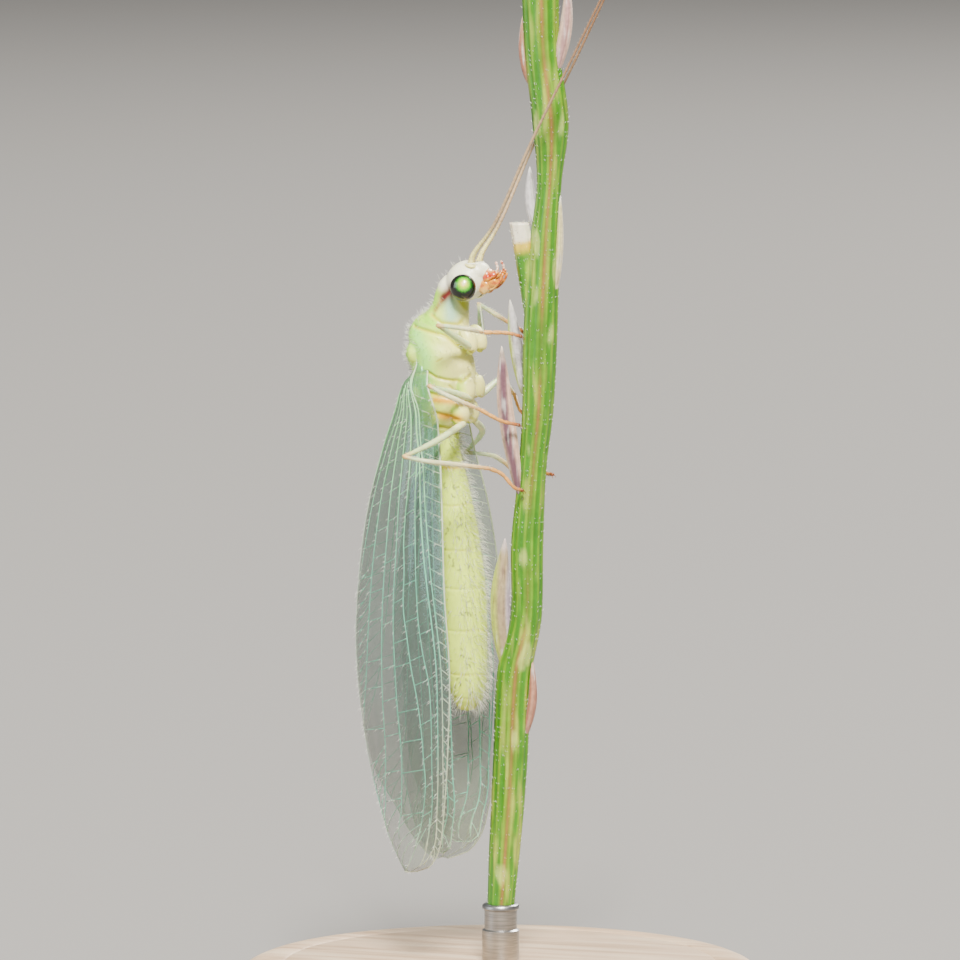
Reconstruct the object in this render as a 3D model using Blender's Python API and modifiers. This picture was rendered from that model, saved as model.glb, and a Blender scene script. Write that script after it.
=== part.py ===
"""A green lacewing resting head up on a cut grass stem, life size, on a small display stand.

The insect's left-right plane is Y = 0. Its underside faces +X, towards the stem, and its right side faces -Y.
Sizes are in millimetres and become metres where a shape is made. The origin is under the middle of the base.
"""

import math

import bmesh
import bpy
from mathutils import Matrix, Vector

MM = 0.001
GAP = 0.15  # clear space between two pieces that meet
SIDES = {"right": -1, "left": 1}

# Stand and stem
BASE_RADIUS, BASE_THICK, BASE_EDGE = 7.0, 1.8, 0.25
ROD_RADIUS = 0.5
STEM_BOTTOM, STEM_TOP = 3.3, 28.4
STEM_FLATTEN = 0.86  # depth of the stem over its width
STEM_RIB = 0.04  # how far every other line of the stem stands out, over its radius
STEM_SIDES, STEM_RINGS = 16, 27
# height, then middle in X and half width of the stem
STEM_STATIONS = [
    (STEM_TOP, 1.12, 0.50),
    (26.3, 1.20, 0.47),
    (24.5, 1.42, 0.48),
    (22.9, 1.39, 0.33),
    (21.4, 1.27, 0.39),
    (19.0, 1.15, 0.45),
    (16.8, 1.07, 0.42),
    (15.3, 0.93, 0.37),
    (13.2, 0.77, 0.43),
    (11.2, 0.74, 0.42),
    (9.7, 0.42, 0.47),
    (7.0, 0.28, 0.46),
    (5.0, 0.14, 0.42),
    (STEM_BOTTOM, 0.02, 0.36),
]
STUB = dict(foot=(0.98, -0.02, 19.3), end=(0.56, -0.05, 21.8), radius=0.26)
# foot, middle and tip of each glume, then half its width and half its thickness
GLUMES = {
    "perch_glume_1": ((0.62, -0.22, 14.5), (0.24, -0.27, 16.9), (0.14, -0.27, 18.5), 0.22, 0.16),
    "perch_glume_2": ((0.66, 0.20, 17.0), (0.34, 0.30, 18.5), (0.16, 0.32, 19.7), 0.19, 0.15),
    "perch_glume_3": ((1.02, 0.04, 21.5), (0.84, 0.04, 22.4), (0.83, 0.02, 23.3), 0.15, 0.15),
    "perch_glume_4": ((0.20, 0.00, 9.6), (0.01, 0.00, 11.6), (0.14, 0.00, 13.3), 0.28, 0.22),
    "perch_glume_5": ((0.70, 0.00, 7.9), (0.93, 0.00, 9.0), (0.90, 0.00, 10.2), 0.12, 0.15),
    "perch_glume_6": ((1.56, 0.00, 25.7), (1.85, 0.00, 27.0), (1.92, 0.00, 28.3), 0.17, 0.17),
}
# two small scales pressed to the stem and grown together with it, given in the same way
BRACTS = [
    ((1.55, 0.00, 19.8), (1.68, 0.00, 21.2), (1.70, 0.00, 22.6), 0.10, 0.14),
    ((0.80, 0.00, 25.5), (0.66, 0.00, 26.4), (0.63, 0.00, 27.3), 0.13, 0.14),
]

# Body: height, middle in X, half depth, half width, and how far the ring leans down towards the belly
BODY_SIDES = 24
PROTHORAX_RINGS = [
    (19.98, -1.34, 0.30, 0.34, 0.10),
    (19.72, -1.34, 0.44, 0.42, 0.10),
    (19.45, -1.42, 0.50, 0.46, 0.15),
    (19.15, -1.53, 0.62, 0.53, 0.25),
    (18.92, -1.62, 0.73, 0.60, 0.35),
    (18.76, -1.66, 0.80, 0.64, 0.42),
]
MESOTHORAX_RINGS = [
    (18.60, -1.67, 0.84, 0.69, 0.42),
    (18.40, -1.68, 0.90, 0.76, 0.38),
    (18.15, -1.64, 0.89, 0.80, 0.32),
    (17.90, -1.61, 0.87, 0.80, 0.30),
    (17.70, -1.62, 0.86, 0.78, 0.30),
]
METATHORAX_RINGS = [
    (17.55, -1.62, 0.86, 0.77, 0.30),
    (17.25, -1.61, 0.85, 0.74, 0.20),
    (16.95, -1.59, 0.82, 0.70, 0.10),
    (16.65, -1.57, 0.75, 0.63, 0.00),
    (16.40, -1.58, 0.64, 0.55, -0.10),
    (16.22, -1.61, 0.52, 0.48, -0.20),
]
ABDOMEN_RINGS = [
    (16.06, -1.63, 0.43, 0.42, -0.20),
    (15.50, -1.57, 0.44, 0.43, 0.00),
    (14.70, -1.41, 0.48, 0.46, 0.00),
    (13.80, -1.25, 0.53, 0.51, 0.00),
    (12.90, -1.14, 0.57, 0.55, 0.00),
    (11.60, -1.03, 0.61, 0.59, 0.00),
    (10.30, -1.00, 0.60, 0.58, 0.00),
    (9.50, -0.95, 0.54, 0.52, 0.00),
    (9.00, -0.93, 0.44, 0.42, 0.00),
    (8.72, -0.95, 0.28, 0.27, 0.00),
]
THORAX_LOBES = {  # centre and radii of the humps that the wings work from
    "mesothorax": (((-2.25, 0.34, 18.25), (0.30, 0.32, 0.34)), ((-2.42, 0.0, 17.98), (0.16, 0.26, 0.20))),
    "metathorax": (((-2.16, 0.34, 17.15), (0.28, 0.30, 0.30)), ((-2.22, 0.0, 16.95), (0.20, 0.24, 0.20))),
}
COXAE = {  # centre, radii and lean of the hip of each pair of legs
    "prothorax": ((-0.78, 0.36, 18.62), (0.25, 0.25, 0.40), -20),
    "mesothorax": ((-0.84, 0.38, 17.36), (0.26, 0.27, 0.38), -14),
    "metathorax": ((-1.02, 0.38, 16.68), (0.27, 0.27, 0.38), -8),
}

# Head
HEAD_MIDDLE, HEAD_RADII, HEAD_LEAN = (-0.94, 0.0, 20.20), (0.54, 0.58, 0.52), 0
EYE_MIDDLE, EYE_RADII = (-0.86, 0.54, 20.06), (0.36, 0.30, 0.36)
MOUTH_ROUTE, MOUTH_RADII = [(-0.60, 0.0, 20.20), (-0.30, 0.0, 20.27), (-0.02, 0.0, 20.40)], [0.38, 0.33, 0.22]
PALP_ROUTE, PALP_RADII = [(-0.25, 0.14, 20.38), (0.02, 0.20, 20.45), (0.12, 0.20, 20.68)], [0.16, 0.13, 0.09]
ANTENNA_BASE, ANTENNA_MIDDLE, ANTENNA_TIP = 0.22, 0.18, 0.10
ANTENNA_POINTS = 15
ANTENNA_ROUTES = {
    "right": [(-0.74, -0.26, 20.60), (-0.62, -0.30, 20.98), (0.12, -0.60, 21.90), (1.21, -0.95, 24.00),
              (2.28, -1.10, 26.00), (3.25, -1.10, 27.90), (4.46, -1.00, 30.30)],
    "left": [(-0.72, 0.26, 20.60), (-0.60, 0.30, 20.98), (-0.16, 0.50, 21.80), (0.58, 1.00, 23.80),
             (1.50, 1.20, 25.70), (2.47, 1.20, 27.65), (3.64, 1.10, 30.00)],
}

# Legs: each joint's place, from hip to foot
FEMUR_RADIUS, TIBIA_RADIUS, TARSUS_RADIUS, CLAW_RADIUS = 0.23, 0.21, 0.19, 0.12
LEGS = {
    ("fore", "right"): dict(
        femur=[(-0.66, -0.42, 18.44), (-1.12, -1.75, 19.13)],
        tibia=[(-1.12, -1.75, 19.13), (-0.32, -1.70, 19.06), (-0.07, -1.15, 18.93)],
        tarsus=[(-0.07, -1.15, 18.93), (0.44, -0.75, 18.90), (0.72, -0.45, 18.80)]),
    ("fore", "left"): dict(
        femur=[(-0.66, 0.42, 18.44), (-1.29, 1.90, 19.41)],
        tibia=[(-1.29, 1.90, 19.41), (-0.26, 1.35, 19.00)],
        tarsus=[(-0.26, 1.35, 19.00), (0.20, 0.90, 18.88), (0.40, 0.72, 18.80)]),
    ("mid", "right"): dict(
        femur=[(-0.70, -0.42, 17.10), (-1.31, -1.90, 17.52)],
        tibia=[(-1.31, -1.90, 17.52), (-0.71, -1.90, 17.24), (-0.10, -1.30, 16.88)],
        tarsus=[(-0.10, -1.30, 16.88), (0.35, -0.95, 16.57), (0.70, -0.55, 16.43)]),
    ("mid", "left"): dict(
        femur=[(-0.70, 0.42, 17.10), (-0.66, 1.90, 17.46)],
        tibia=[(-0.66, 1.90, 17.46), (-0.12, 1.50, 17.02)],
        tarsus=[(-0.12, 1.50, 17.02), (0.24, 0.90, 16.69), (0.62, 0.42, 16.56)]),
    ("hind", "right"): dict(
        femur=[(-0.88, -0.45, 16.40), (-1.16, -1.75, 16.05), (-1.71, -2.75, 15.70)],
        tibia=[(-1.71, -2.75, 15.70), (-1.07, -2.75, 15.60), (-0.38, -2.00, 15.45), (0.15, -1.20, 15.30)],
        tarsus=[(0.15, -1.20, 15.30), (0.40, -0.95, 15.13), (0.67, -0.76, 14.77), (0.80, -0.54, 14.68)]),
    ("hind", "left"): dict(
        femur=[(-0.88, 0.45, 16.40), (-1.15, 1.75, 15.95), (-1.94, 2.60, 15.30)],
        tibia=[(-1.94, 2.60, 15.30), (-1.10, 2.30, 15.28), (-0.50, 1.60, 15.20), (-0.15, 1.20, 15.08)],
        tarsus=[(-0.15, 1.20, 15.08), (0.45, 0.98, 15.04), (1.05, 0.78, 15.00), (1.30, 0.50, 15.02)]),
}

# Wings: height, then X and outward Y of the hind margin along the ridge and of the front margin at the side
MEMBRANE, VEIN, MARGIN = 0.40, 0.54, 0.30  # thickness
WING_BULGE = 0.22  # how far the middle of a wing stands out of the flat between its margins
VEIN_WIDTH = 0.11  # half width
TIP_SHARE, TIP_RUN = 0.45, 0.10  # thickness at a wing's tip over the rest, and the share of its length that thins
WING_STATIONS = [
    (17.95, -2.12, 0.36, -1.82, 0.66),
    (17.40, -2.62, 0.36, -1.70, 1.00),
    (16.60, -2.92, 0.29, -1.40, 1.14),
    (15.60, -3.27, 0.26, -1.24, 1.34),
    (14.00, -3.70, 0.26, -1.00, 1.82),
    (12.00, -3.98, 0.26, -0.80, 2.19),
    (9.90, -4.04, 0.26, -0.59, 2.36),
    (7.30, -3.67, 0.36, -0.75, 2.12),
    (5.70, -3.16, 0.62, -1.00, 1.80),
    (4.80, -2.68, 0.88, -1.42, 1.52),
    (4.42, -2.36, 1.08, -1.82, 1.31),
]
FOREWING_ROWS = 18
FOREWING_VEINS = [0.16, 0.32, 0.46, 0.60, 0.73, 0.85]  # share of the way from the hind margin to the front
# The hindwing lies inside the forewing: height, then its hind and front margins, in mm from the ridge
HINDWING_STATIONS = [
    (16.70, 0.95, 1.20),
    (15.80, 1.05, 1.65),
    (14.40, 1.10, 2.30),
    (12.40, 1.10, 2.95),
    (9.90, 1.05, 3.35),
    (8.00, 0.95, 3.15),
    (6.50, 0.80, 2.70),
    (5.50, 0.75, 2.10),
    (4.85, 0.90, 1.45),
]
HINDWING_ROWS = 15
HINDWING_VEINS = [0.25, 0.50, 0.75]
HINDWING_DEPTH = VEIN + GAP + 0.02

COLOURS = {
    "flesh": ((0.62, 0.74, 0.30), 0.45),
    "face": ((0.80, 0.78, 0.55), 0.45),
    "mouth": ((0.62, 0.20, 0.06), 0.45),
    "eye": ((0.04, 0.09, 0.02), 0.15),
    "feeler": ((0.50, 0.36, 0.20), 0.55),
    "leg": ((0.66, 0.72, 0.42), 0.50),
    "foot": ((0.62, 0.38, 0.16), 0.50),
    "wing": ((0.45, 0.60, 0.50), 0.25),
    "stem": ((0.28, 0.50, 0.04), 0.55),
    "glume": ((0.42, 0.28, 0.24), 0.65),
    "stand": ((0.62, 0.60, 0.56), 0.50),
    "rod": ((0.55, 0.55, 0.55), 0.35),
}


def mm(point):
    return Vector(point) * MM


def smooth(stations, t):
    """The values at t on a smooth curve through the stations, whose first value is t, in either order."""
    rows = sorted(stations)
    t = min(max(t, rows[0][0]), rows[-1][0])
    i = max(k for k in range(len(rows) - 1) if rows[k][0] <= t)

    def slope(k, j):
        before, after = rows[max(k - 1, 0)], rows[min(k + 1, len(rows) - 1)]
        return (after[j] - before[j]) / (after[0] - before[0])

    a, b = rows[i], rows[i + 1]
    span = b[0] - a[0]
    u = (t - a[0]) / span
    return [
        (2 * u**3 - 3 * u**2 + 1) * a[j] + (u**3 - 2 * u**2 + u) * span * slope(i, j)
        + (3 * u**2 - 2 * u**3) * b[j] + (u**3 - u**2) * span * slope(i + 1, j)
        for j in range(1, len(a))
    ]


def smooth_route(points, count):
    """count points, evenly spread along a smooth curve through the given ones."""
    stations = [(i, *point) for i, point in enumerate(points)]
    return [smooth(stations, i * (len(points) - 1) / (count - 1)) for i in range(count)]


def make_collection(name, helper=False):
    collection = bpy.data.collections.new(name)
    bpy.context.scene.collection.children.link(collection)
    collection.hide_render = helper
    return collection


def make_object(name, bm, collection):
    mesh = bpy.data.meshes.new(name)
    bm.to_mesh(mesh)
    bm.free()
    obj = bpy.data.objects.new(name, mesh)
    collection.objects.link(obj)
    if collection == helpers:
        obj.hide_render = True
        obj.display_type = "WIRE"
    return obj


def apply_modifiers(obj):
    graph = bpy.context.evaluated_depsgraph_get()
    mesh = bpy.data.meshes.new_from_object(obj.evaluated_get(graph))
    obj.modifiers.clear()
    obj.data = mesh


def face_outward(obj):
    bm = bmesh.new()
    bm.from_mesh(obj.data)
    bmesh.ops.recalc_face_normals(bm, faces=bm.faces)
    bm.to_mesh(obj.data)
    bm.free()


def keep_largest(obj):
    """Leaves the largest closed surface of the object, without the crumbs that a cut can leave."""
    bm = bmesh.new()
    bm.from_mesh(obj.data)
    left, groups = set(bm.verts), []
    while left:
        group, edge = set(), [left.pop()]
        while edge:
            vert = edge.pop()
            group.add(vert)
            near = {other.other_vert(vert) for other in vert.link_edges} & left
            left -= near
            edge.extend(near)
        groups.append(group)
    groups.sort(key=len)
    for group in groups[:-1]:
        bmesh.ops.delete(bm, geom=list(group), context="VERTS")
    bm.to_mesh(obj.data)
    bm.free()


def combine(obj, others, operation):
    """One Boolean of the object with all the others, which are then removed."""
    group = bpy.data.collections.new("operands")
    for other in others:
        group.objects.link(other)
    boolean = obj.modifiers.new("combine", "BOOLEAN")
    boolean.operation = operation
    boolean.operand_type = "COLLECTION"
    boolean.collection = group
    apply_modifiers(obj)
    for other in others:
        bpy.data.objects.remove(other)
    bpy.data.collections.remove(group)
    keep_largest(obj)


def join(obj, others):
    combine(obj, others, "UNION")


def cut(obj, others):
    combine(obj, others, "DIFFERENCE")


def ellipsoid(name, middle, radii, lean=0.0, grow=0.0, collection=None, sides=16):
    """An ellipsoid, leaned by a number of degrees about Y, with its long axis along Z."""
    bm = bmesh.new()
    place = Matrix.Translation(mm(middle)) @ Matrix.Rotation(math.radians(lean), 4, "Y")
    size = Matrix.Diagonal([(radius + grow) * MM for radius in radii] + [1])
    bmesh.ops.create_uvsphere(bm, u_segments=sides, v_segments=sides // 2, radius=1, matrix=place @ size)
    return make_object(name, bm, collection or helpers)


def ringed(name, rings, sides, dome, grow=0.0, ribs=0.0, collection=None):
    """A closed form through elliptical rings, given from the top down, with a low dome at each end."""
    bm = bmesh.new()
    bmesh.ops.create_uvsphere(bm, u_segments=sides, v_segments=len(rings) + 1, radius=1)
    for vert in bm.verts:
        k = round(math.acos(max(-1, min(1, vert.co.z))) * (len(rings) + 1) / math.pi)
        if k in (0, len(rings) + 1):
            z, x = rings[min(k, len(rings)) - bool(k)][:2]
            vert.co = mm((x, 0, z + (dome + grow) * (1 if k == 0 else -1)))
            continue
        z, x, depth, width, lean = rings[k - 1]
        end = {1: grow, len(rings): -grow}.get(k, 0)
        angle = math.atan2(vert.co.y, vert.co.x)
        swell = 1 + ribs * (-1) ** round(angle * sides / math.tau)
        dx = (depth + grow) * swell * math.cos(angle)
        vert.co = mm((x + dx, (width + grow) * swell * math.sin(angle), z + end - lean * dx))
    return make_object(name, bm, collection or helpers)


def tube(name, points, radii, grow=0.0, collection=None):
    """A round tube with softened ends, its radius given at each point."""
    ends = [(points[0], points[1], radii[0]), (points[-1], points[-2], radii[-1])]
    route = [(Vector(point), radius) for point, radius in zip(points, radii)]
    tips = []
    for end, inner, radius in ends:
        outward = (Vector(end) - Vector(inner)).normalized()
        tips.append((Vector(end) + outward * (radius * 0.5 + grow), radius * 0.55))
    route = [tips[0], *route, tips[1]]
    data = bpy.data.curves.new(name, "CURVE")
    data.dimensions = "3D"
    data.bevel_depth = MM
    data.bevel_resolution = 2
    data.use_fill_caps = True
    spline = data.splines.new("POLY")
    spline.points.add(len(route) - 1)
    for point, (place, radius) in zip(spline.points, route):
        point.co = (*(place * MM), 1)
        point.radius = radius + grow
    curve = bpy.data.objects.new(name, data)
    helpers.objects.link(curve)
    graph = bpy.context.evaluated_depsgraph_get()
    mesh = bpy.data.meshes.new_from_object(curve.evaluated_get(graph))
    bpy.data.objects.remove(curve)
    bm = bmesh.new()
    bm.from_mesh(mesh)
    bmesh.ops.remove_doubles(bm, verts=bm.verts, dist=1e-6)
    return make_object(name, bm, collection or helpers)


def wing_frame(z):
    """At one height: the ridge end of a wing's chord, the chord's direction, its length and the way out."""
    hind_x, hind_y, front_x, front_y = smooth(WING_STATIONS, z)
    chord = Vector((front_x - hind_x, front_y - hind_y))
    along = chord.normalized()
    return Vector((hind_x, hind_y)), along, chord.length, Vector((-along.y, along.x))


def wing_point(z, distance, depth, side):
    """A point of the wings' roof, some way from the ridge and some way inside the forewing's middle."""
    ridge, along, length, out = wing_frame(z)
    share = distance / length
    place = ridge + along * distance + out * (4 * WING_BULGE * share * (1 - share) - depth)
    return mm((place.x, side * place.y, z))


def vein_columns(veins, length):
    """Shares across the wing where its mesh has a line, each with its thickness."""
    columns = [(0.0, MARGIN), (VEIN_WIDTH / length, VEIN), (2 * VEIN_WIDTH / length, MEMBRANE)]
    for vein in veins:
        columns += [
            (vein - VEIN_WIDTH / length, MEMBRANE),
            (vein, VEIN),
            (vein + VEIN_WIDTH / length, MEMBRANE),
        ]
    return columns + [(1 - 2 * VEIN_WIDTH / length, MEMBRANE), (1 - VEIN_WIDTH / length, VEIN), (1.0, MARGIN)]


def wing(name, side, top, bottom, rows, veins, margins, depth):
    """One wing, a thin vane whose main veins stand up from both faces."""
    widest = max(b - a for a, b in map(margins, (top, (top + bottom) / 2, bottom)))
    columns = vein_columns(veins, widest)
    bm = bmesh.new()
    bmesh.ops.create_grid(bm, x_segments=len(columns) - 1, y_segments=rows, size=0.5)
    thick = bm.verts.layers.deform.verify()
    for vert in bm.verts:
        share, thickness = columns[round((vert.co.x + 0.5) * (len(columns) - 1))]
        down = vert.co.y + 0.5
        z = top + (bottom - top) * (0.55 * down + 0.45 * math.sin(down * math.pi / 2))
        near, far = margins(z)
        vert.co = wing_point(z, near + (far - near) * share, depth, side)
        thinning = min(1, TIP_SHARE + (1 - TIP_SHARE) * (1 - down) / TIP_RUN)
        vert[thick][0] = thinning * thickness / VEIN
    bmesh.ops.triangulate(bm, faces=bm.faces, quad_method="FIXED")
    obj = make_object(name, bm, model)
    obj.vertex_groups.new(name="thickness")
    solidify = obj.modifiers.new("solidify", "SOLIDIFY")
    solidify.thickness = VEIN * MM
    solidify.offset = 0
    solidify.vertex_group = "thickness"
    apply_modifiers(obj)
    obj.vertex_groups.clear()
    face_outward(obj)
    return obj


def make_material(name, colour, roughness):
    material = bpy.data.materials.new(name)
    material.use_nodes = True
    shader = material.node_tree.nodes["Principled BSDF"]
    shader.inputs["Base Color"].default_value = (*colour, 1)
    shader.inputs["Roughness"].default_value = roughness
    return material


def paint(obj, slot):
    obj.data.materials.clear()
    obj.data.materials.append(materials[slot])
    obj.data.shade_smooth()
    obj.data.set_sharp_from_angle(angle=math.radians(40))


def coxa_forms(segment, grow=0.0):
    (x, y, z), radii, lean = COXAE[segment]
    return [ellipsoid("coxa", (x, side * y, z), radii, lean, grow) for side in SIDES.values()]


def lobe_forms(segment, grow=0.0):
    pairs = []
    for (x, y, z), radii in THORAX_LOBES.get(segment, ()):
        for side in (SIDES.values() if y else [1]):
            pairs.append(ellipsoid("lobe", (x, side * y, z), radii, 0, grow))
    return pairs


SEGMENTS = {
    "prothorax": (PROTHORAX_RINGS, 0.02),
    "mesothorax": (MESOTHORAX_RINGS, 0.0),
    "metathorax": (METATHORAX_RINGS, 0.0),
    "abdomen": (ABDOMEN_RINGS, 0.06),
}


def segment_forms(segment, grow):
    """The solid forms of one body segment, grown, to cut a neighbour with."""
    rings, dome = SEGMENTS[segment]
    forms = [ringed("segment", rings, BODY_SIDES, dome, grow)]
    if segment in COXAE:
        forms += coxa_forms(segment, grow)
    return forms + lobe_forms(segment, grow)


def head_form(grow=0.0, collection=None):
    return ellipsoid("head", HEAD_MIDDLE, HEAD_RADII, HEAD_LEAN, grow, collection, sides=24)


def eye_form(side, grow=0.0, collection=None):
    x, y, z = EYE_MIDDLE
    return ellipsoid("eye", (x, side * y, z), EYE_RADII, 0, grow, collection, sides=20)


def make_body():
    for segment, (rings, dome) in SEGMENTS.items():
        obj = ringed(segment, rings, BODY_SIDES, dome, collection=model)
        if segment in COXAE:
            join(obj, coxa_forms(segment) + lobe_forms(segment))
        paint(obj, "flesh")
    cut(bpy.data.objects["prothorax"], [head_form(GAP)])
    cut(bpy.data.objects["mesothorax"], coxa_forms("prothorax", GAP))
    cut(bpy.data.objects["metathorax"], coxa_forms("mesothorax", GAP) + lobe_forms("mesothorax", GAP))
    cut(bpy.data.objects["abdomen"], coxa_forms("metathorax", GAP))


def make_head():
    head = head_form(collection=model)
    paint(head, "face")
    for name, side in SIDES.items():
        eye = eye_form(side, collection=model)
        eye.name = f"eye_{name}"
        cut(eye, [head_form(GAP * 0.5)])
        paint(eye, "eye")
    mouth = tube("mouthparts", MOUTH_ROUTE, MOUTH_RADII, collection=model)
    palps = []
    for side in SIDES.values():
        palps.append(tube("palp", [(x, side * y, z) for x, y, z in PALP_ROUTE], PALP_RADII))
    join(mouth, palps)
    cut(mouth, [head_form(GAP * 0.5)])
    paint(mouth, "mouth")


def make_antennae():
    for name, points in ANTENNA_ROUTES.items():
        route = smooth_route(points, ANTENNA_POINTS)
        radii = []
        for i in range(ANTENNA_POINTS):
            share = i / (ANTENNA_POINTS - 1)
            radii.append(smooth([(0, ANTENNA_BASE), (0.25, ANTENNA_MIDDLE), (1, ANTENNA_TIP)], share)[0])
        antenna = tube(f"antenna_{name}", route, radii, collection=model)
        cut(antenna, [head_form(GAP)])
        paint(antenna, "feeler")


def make_legs():
    segments = {"fore": "prothorax", "mid": "mesothorax", "hind": "metathorax"}
    for (pair, name), route in LEGS.items():
        shapes = {
            "femur": [FEMUR_RADIUS] * len(route["femur"]),
            "tibia": [TIBIA_RADIUS] * len(route["tibia"]),
            "tarsus": [TARSUS_RADIUS] * (len(route["tarsus"]) - 1) + [CLAW_RADIUS],
        }
        before = None
        for part, radii in shapes.items():
            leg = tube(f"{pair}_{part}_{name}", route[part], radii, collection=model)
            if before:
                cut(leg, [tube("before", route[before], shapes[before], GAP)])
            else:
                cut(leg, segment_forms(segments[pair], GAP))
            if part == "tarsus":
                cut(leg, [stem_form(GAP)])
            before = part
            paint(leg, "foot" if part == "tarsus" else "leg")


def femur_form(pair, name, grow):
    return tube("femur", LEGS[(pair, name)]["femur"], [FEMUR_RADIUS] * len(LEGS[(pair, name)]["femur"]), grow)


def make_wings():
    def forewing_margins(z):
        return 0.0, wing_frame(z)[2]

    def hindwing_margins(z):
        return smooth(HINDWING_STATIONS, z)

    top, bottom = WING_STATIONS[0][0], WING_STATIONS[-1][0]
    low_top, low_bottom = HINDWING_STATIONS[0][0], HINDWING_STATIONS[-1][0]
    for name, side in SIDES.items():
        fore = wing(f"forewing_{name}", side, top, bottom, FOREWING_ROWS, FOREWING_VEINS, forewing_margins, 0)
        cut(fore, segment_forms("mesothorax", GAP) + segment_forms("metathorax", GAP))
        cut(fore, [femur_form(pair, name, GAP) for pair in ("mid", "hind")])
        hind = wing(
            f"hindwing_{name}", side, low_top, low_bottom, HINDWING_ROWS, HINDWING_VEINS, hindwing_margins,
            HINDWING_DEPTH,
        )
        cut(hind, segment_forms("metathorax", GAP) + segment_forms("abdomen", GAP))
        paint(fore, "wing")
        paint(hind, "wing")


def stem_form(grow=0.0, collection=None):
    rings = []
    for i in range(STEM_RINGS):
        z = STEM_TOP + (STEM_BOTTOM - STEM_TOP) * i / (STEM_RINGS - 1)
        x, half = smooth(STEM_STATIONS, z)
        rings.append((z, x, half, half * STEM_FLATTEN, 0.0))
    return ringed("perch_stem", rings, STEM_SIDES, 0.0, grow, STEM_RIB, collection)


def stub_form(grow=0.0):
    return tube("stub", [STUB["foot"], STUB["end"]], [STUB["radius"]] * 2, grow)


def glume(name, foot, middle, tip, half_width, half_thick, collection=None):
    """A pointed leaf-like scale that grows from the stem, widest a third of the way up."""
    stations = [(0, *foot), (0.5, *middle), (1, *tip)]
    bm = bmesh.new()
    bmesh.ops.create_uvsphere(bm, u_segments=10, v_segments=12, radius=1)
    for vert in bm.verts:
        share = 0.5 + vert.co.z / 2
        x, y, z = smooth(stations, share)
        full = math.sin(math.pi * share**0.75) ** 0.7 if 0 < share < 1 else 0
        angle = math.atan2(vert.co.y, vert.co.x)
        vert.co = mm((x + half_width * full * math.cos(angle), y + half_thick * full * math.sin(angle), z))
    return make_object(name, bm, collection or helpers)


def make_perch():
    stem = stem_form(collection=model)
    join(stem, [stub_form()] + [glume("bract", *shape) for shape in BRACTS])
    paint(stem, "stem")
    for name, shape in GLUMES.items():
        scale = glume(name, *shape, collection=model)
        cut(scale, [stem_form(GAP), stub_form(GAP)])
        paint(scale, "glume")


def make_stand():
    bm = bmesh.new()
    place = Matrix.Translation(mm((0, 0, BASE_THICK / 2)))
    bmesh.ops.create_cone(
        bm, cap_ends=True, segments=48, radius1=BASE_RADIUS * MM, radius2=BASE_RADIUS * MM,
        depth=BASE_THICK * MM, matrix=place,
    )
    rims = [edge for edge in bm.edges if abs(edge.verts[0].co.z - edge.verts[1].co.z) < MM * 0.01]
    bmesh.ops.bevel(bm, geom=rims, offset=BASE_EDGE * MM, segments=2, profile=0.5, affect="EDGES", material=-1)
    paint(make_object("stand_base", bm, model), "stand")
    low, high = BASE_THICK + GAP, STEM_BOTTOM - GAP
    bm = bmesh.new()
    place = Matrix.Translation(mm((STEM_STATIONS[-1][1], 0, (low + high) / 2)))
    bmesh.ops.create_cone(
        bm, cap_ends=True, segments=24, radius1=ROD_RADIUS * MM, radius2=ROD_RADIUS * MM,
        depth=(high - low) * MM, matrix=place,
    )
    paint(make_object("stand_rod", bm, model), "rod")


for startup in list(bpy.data.objects):
    bpy.data.objects.remove(startup)
model = make_collection("green_lacewing")
helpers = make_collection("cutters", helper=True)
materials = {slot: make_material(slot, *look) for slot, look in COLOURS.items()}
make_body()
make_head()
make_antennae()
make_legs()
make_wings()
make_perch()
make_stand()
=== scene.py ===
# %% [markdown]
# # A green lacewing, head up on a cut grass stem
#
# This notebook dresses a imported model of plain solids. The solids give every place and size,
# and each of them is answered here by a finished piece: one skin over the body, faceted eyes,
# ringed feelers, thin legs, clear veined wings, fine hairs, and the ribbed stem with its scales.
# The insect's left-right plane is Y = 0, its underside faces +X and its right side faces -Y.
# All sizes below are written in millimetres, because that is the scale on which an insect is drawn.

# %% Load the fixed frame
import math

import bmesh
import bpy
import numpy as np
from mathutils import Matrix, Vector, noise


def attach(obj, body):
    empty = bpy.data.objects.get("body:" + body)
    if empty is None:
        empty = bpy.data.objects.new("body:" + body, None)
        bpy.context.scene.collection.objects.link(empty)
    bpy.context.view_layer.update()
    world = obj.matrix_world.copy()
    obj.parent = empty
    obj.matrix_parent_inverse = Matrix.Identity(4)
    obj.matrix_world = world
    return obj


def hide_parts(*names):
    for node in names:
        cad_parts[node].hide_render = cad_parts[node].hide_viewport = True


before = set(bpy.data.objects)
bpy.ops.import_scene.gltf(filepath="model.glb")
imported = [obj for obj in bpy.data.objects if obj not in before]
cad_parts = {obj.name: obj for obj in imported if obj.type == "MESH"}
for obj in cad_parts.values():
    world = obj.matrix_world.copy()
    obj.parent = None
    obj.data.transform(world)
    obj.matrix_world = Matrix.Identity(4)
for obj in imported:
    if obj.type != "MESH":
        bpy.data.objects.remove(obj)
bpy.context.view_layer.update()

MM = 0.001
SIDES = {"right": -1, "left": 1}
print("nodes in the frame:", len(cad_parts))

# %% [markdown]
# The camera comes first, because it decides which details are worth making. A long lens from
# far away flattens the view, as a macro lens does. The look is turned 20 degrees towards the
# insect's belly and comes from 6 degrees above. The lens is worked out from the width of the
# view, so the framing is a real size and not a guess.

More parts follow.
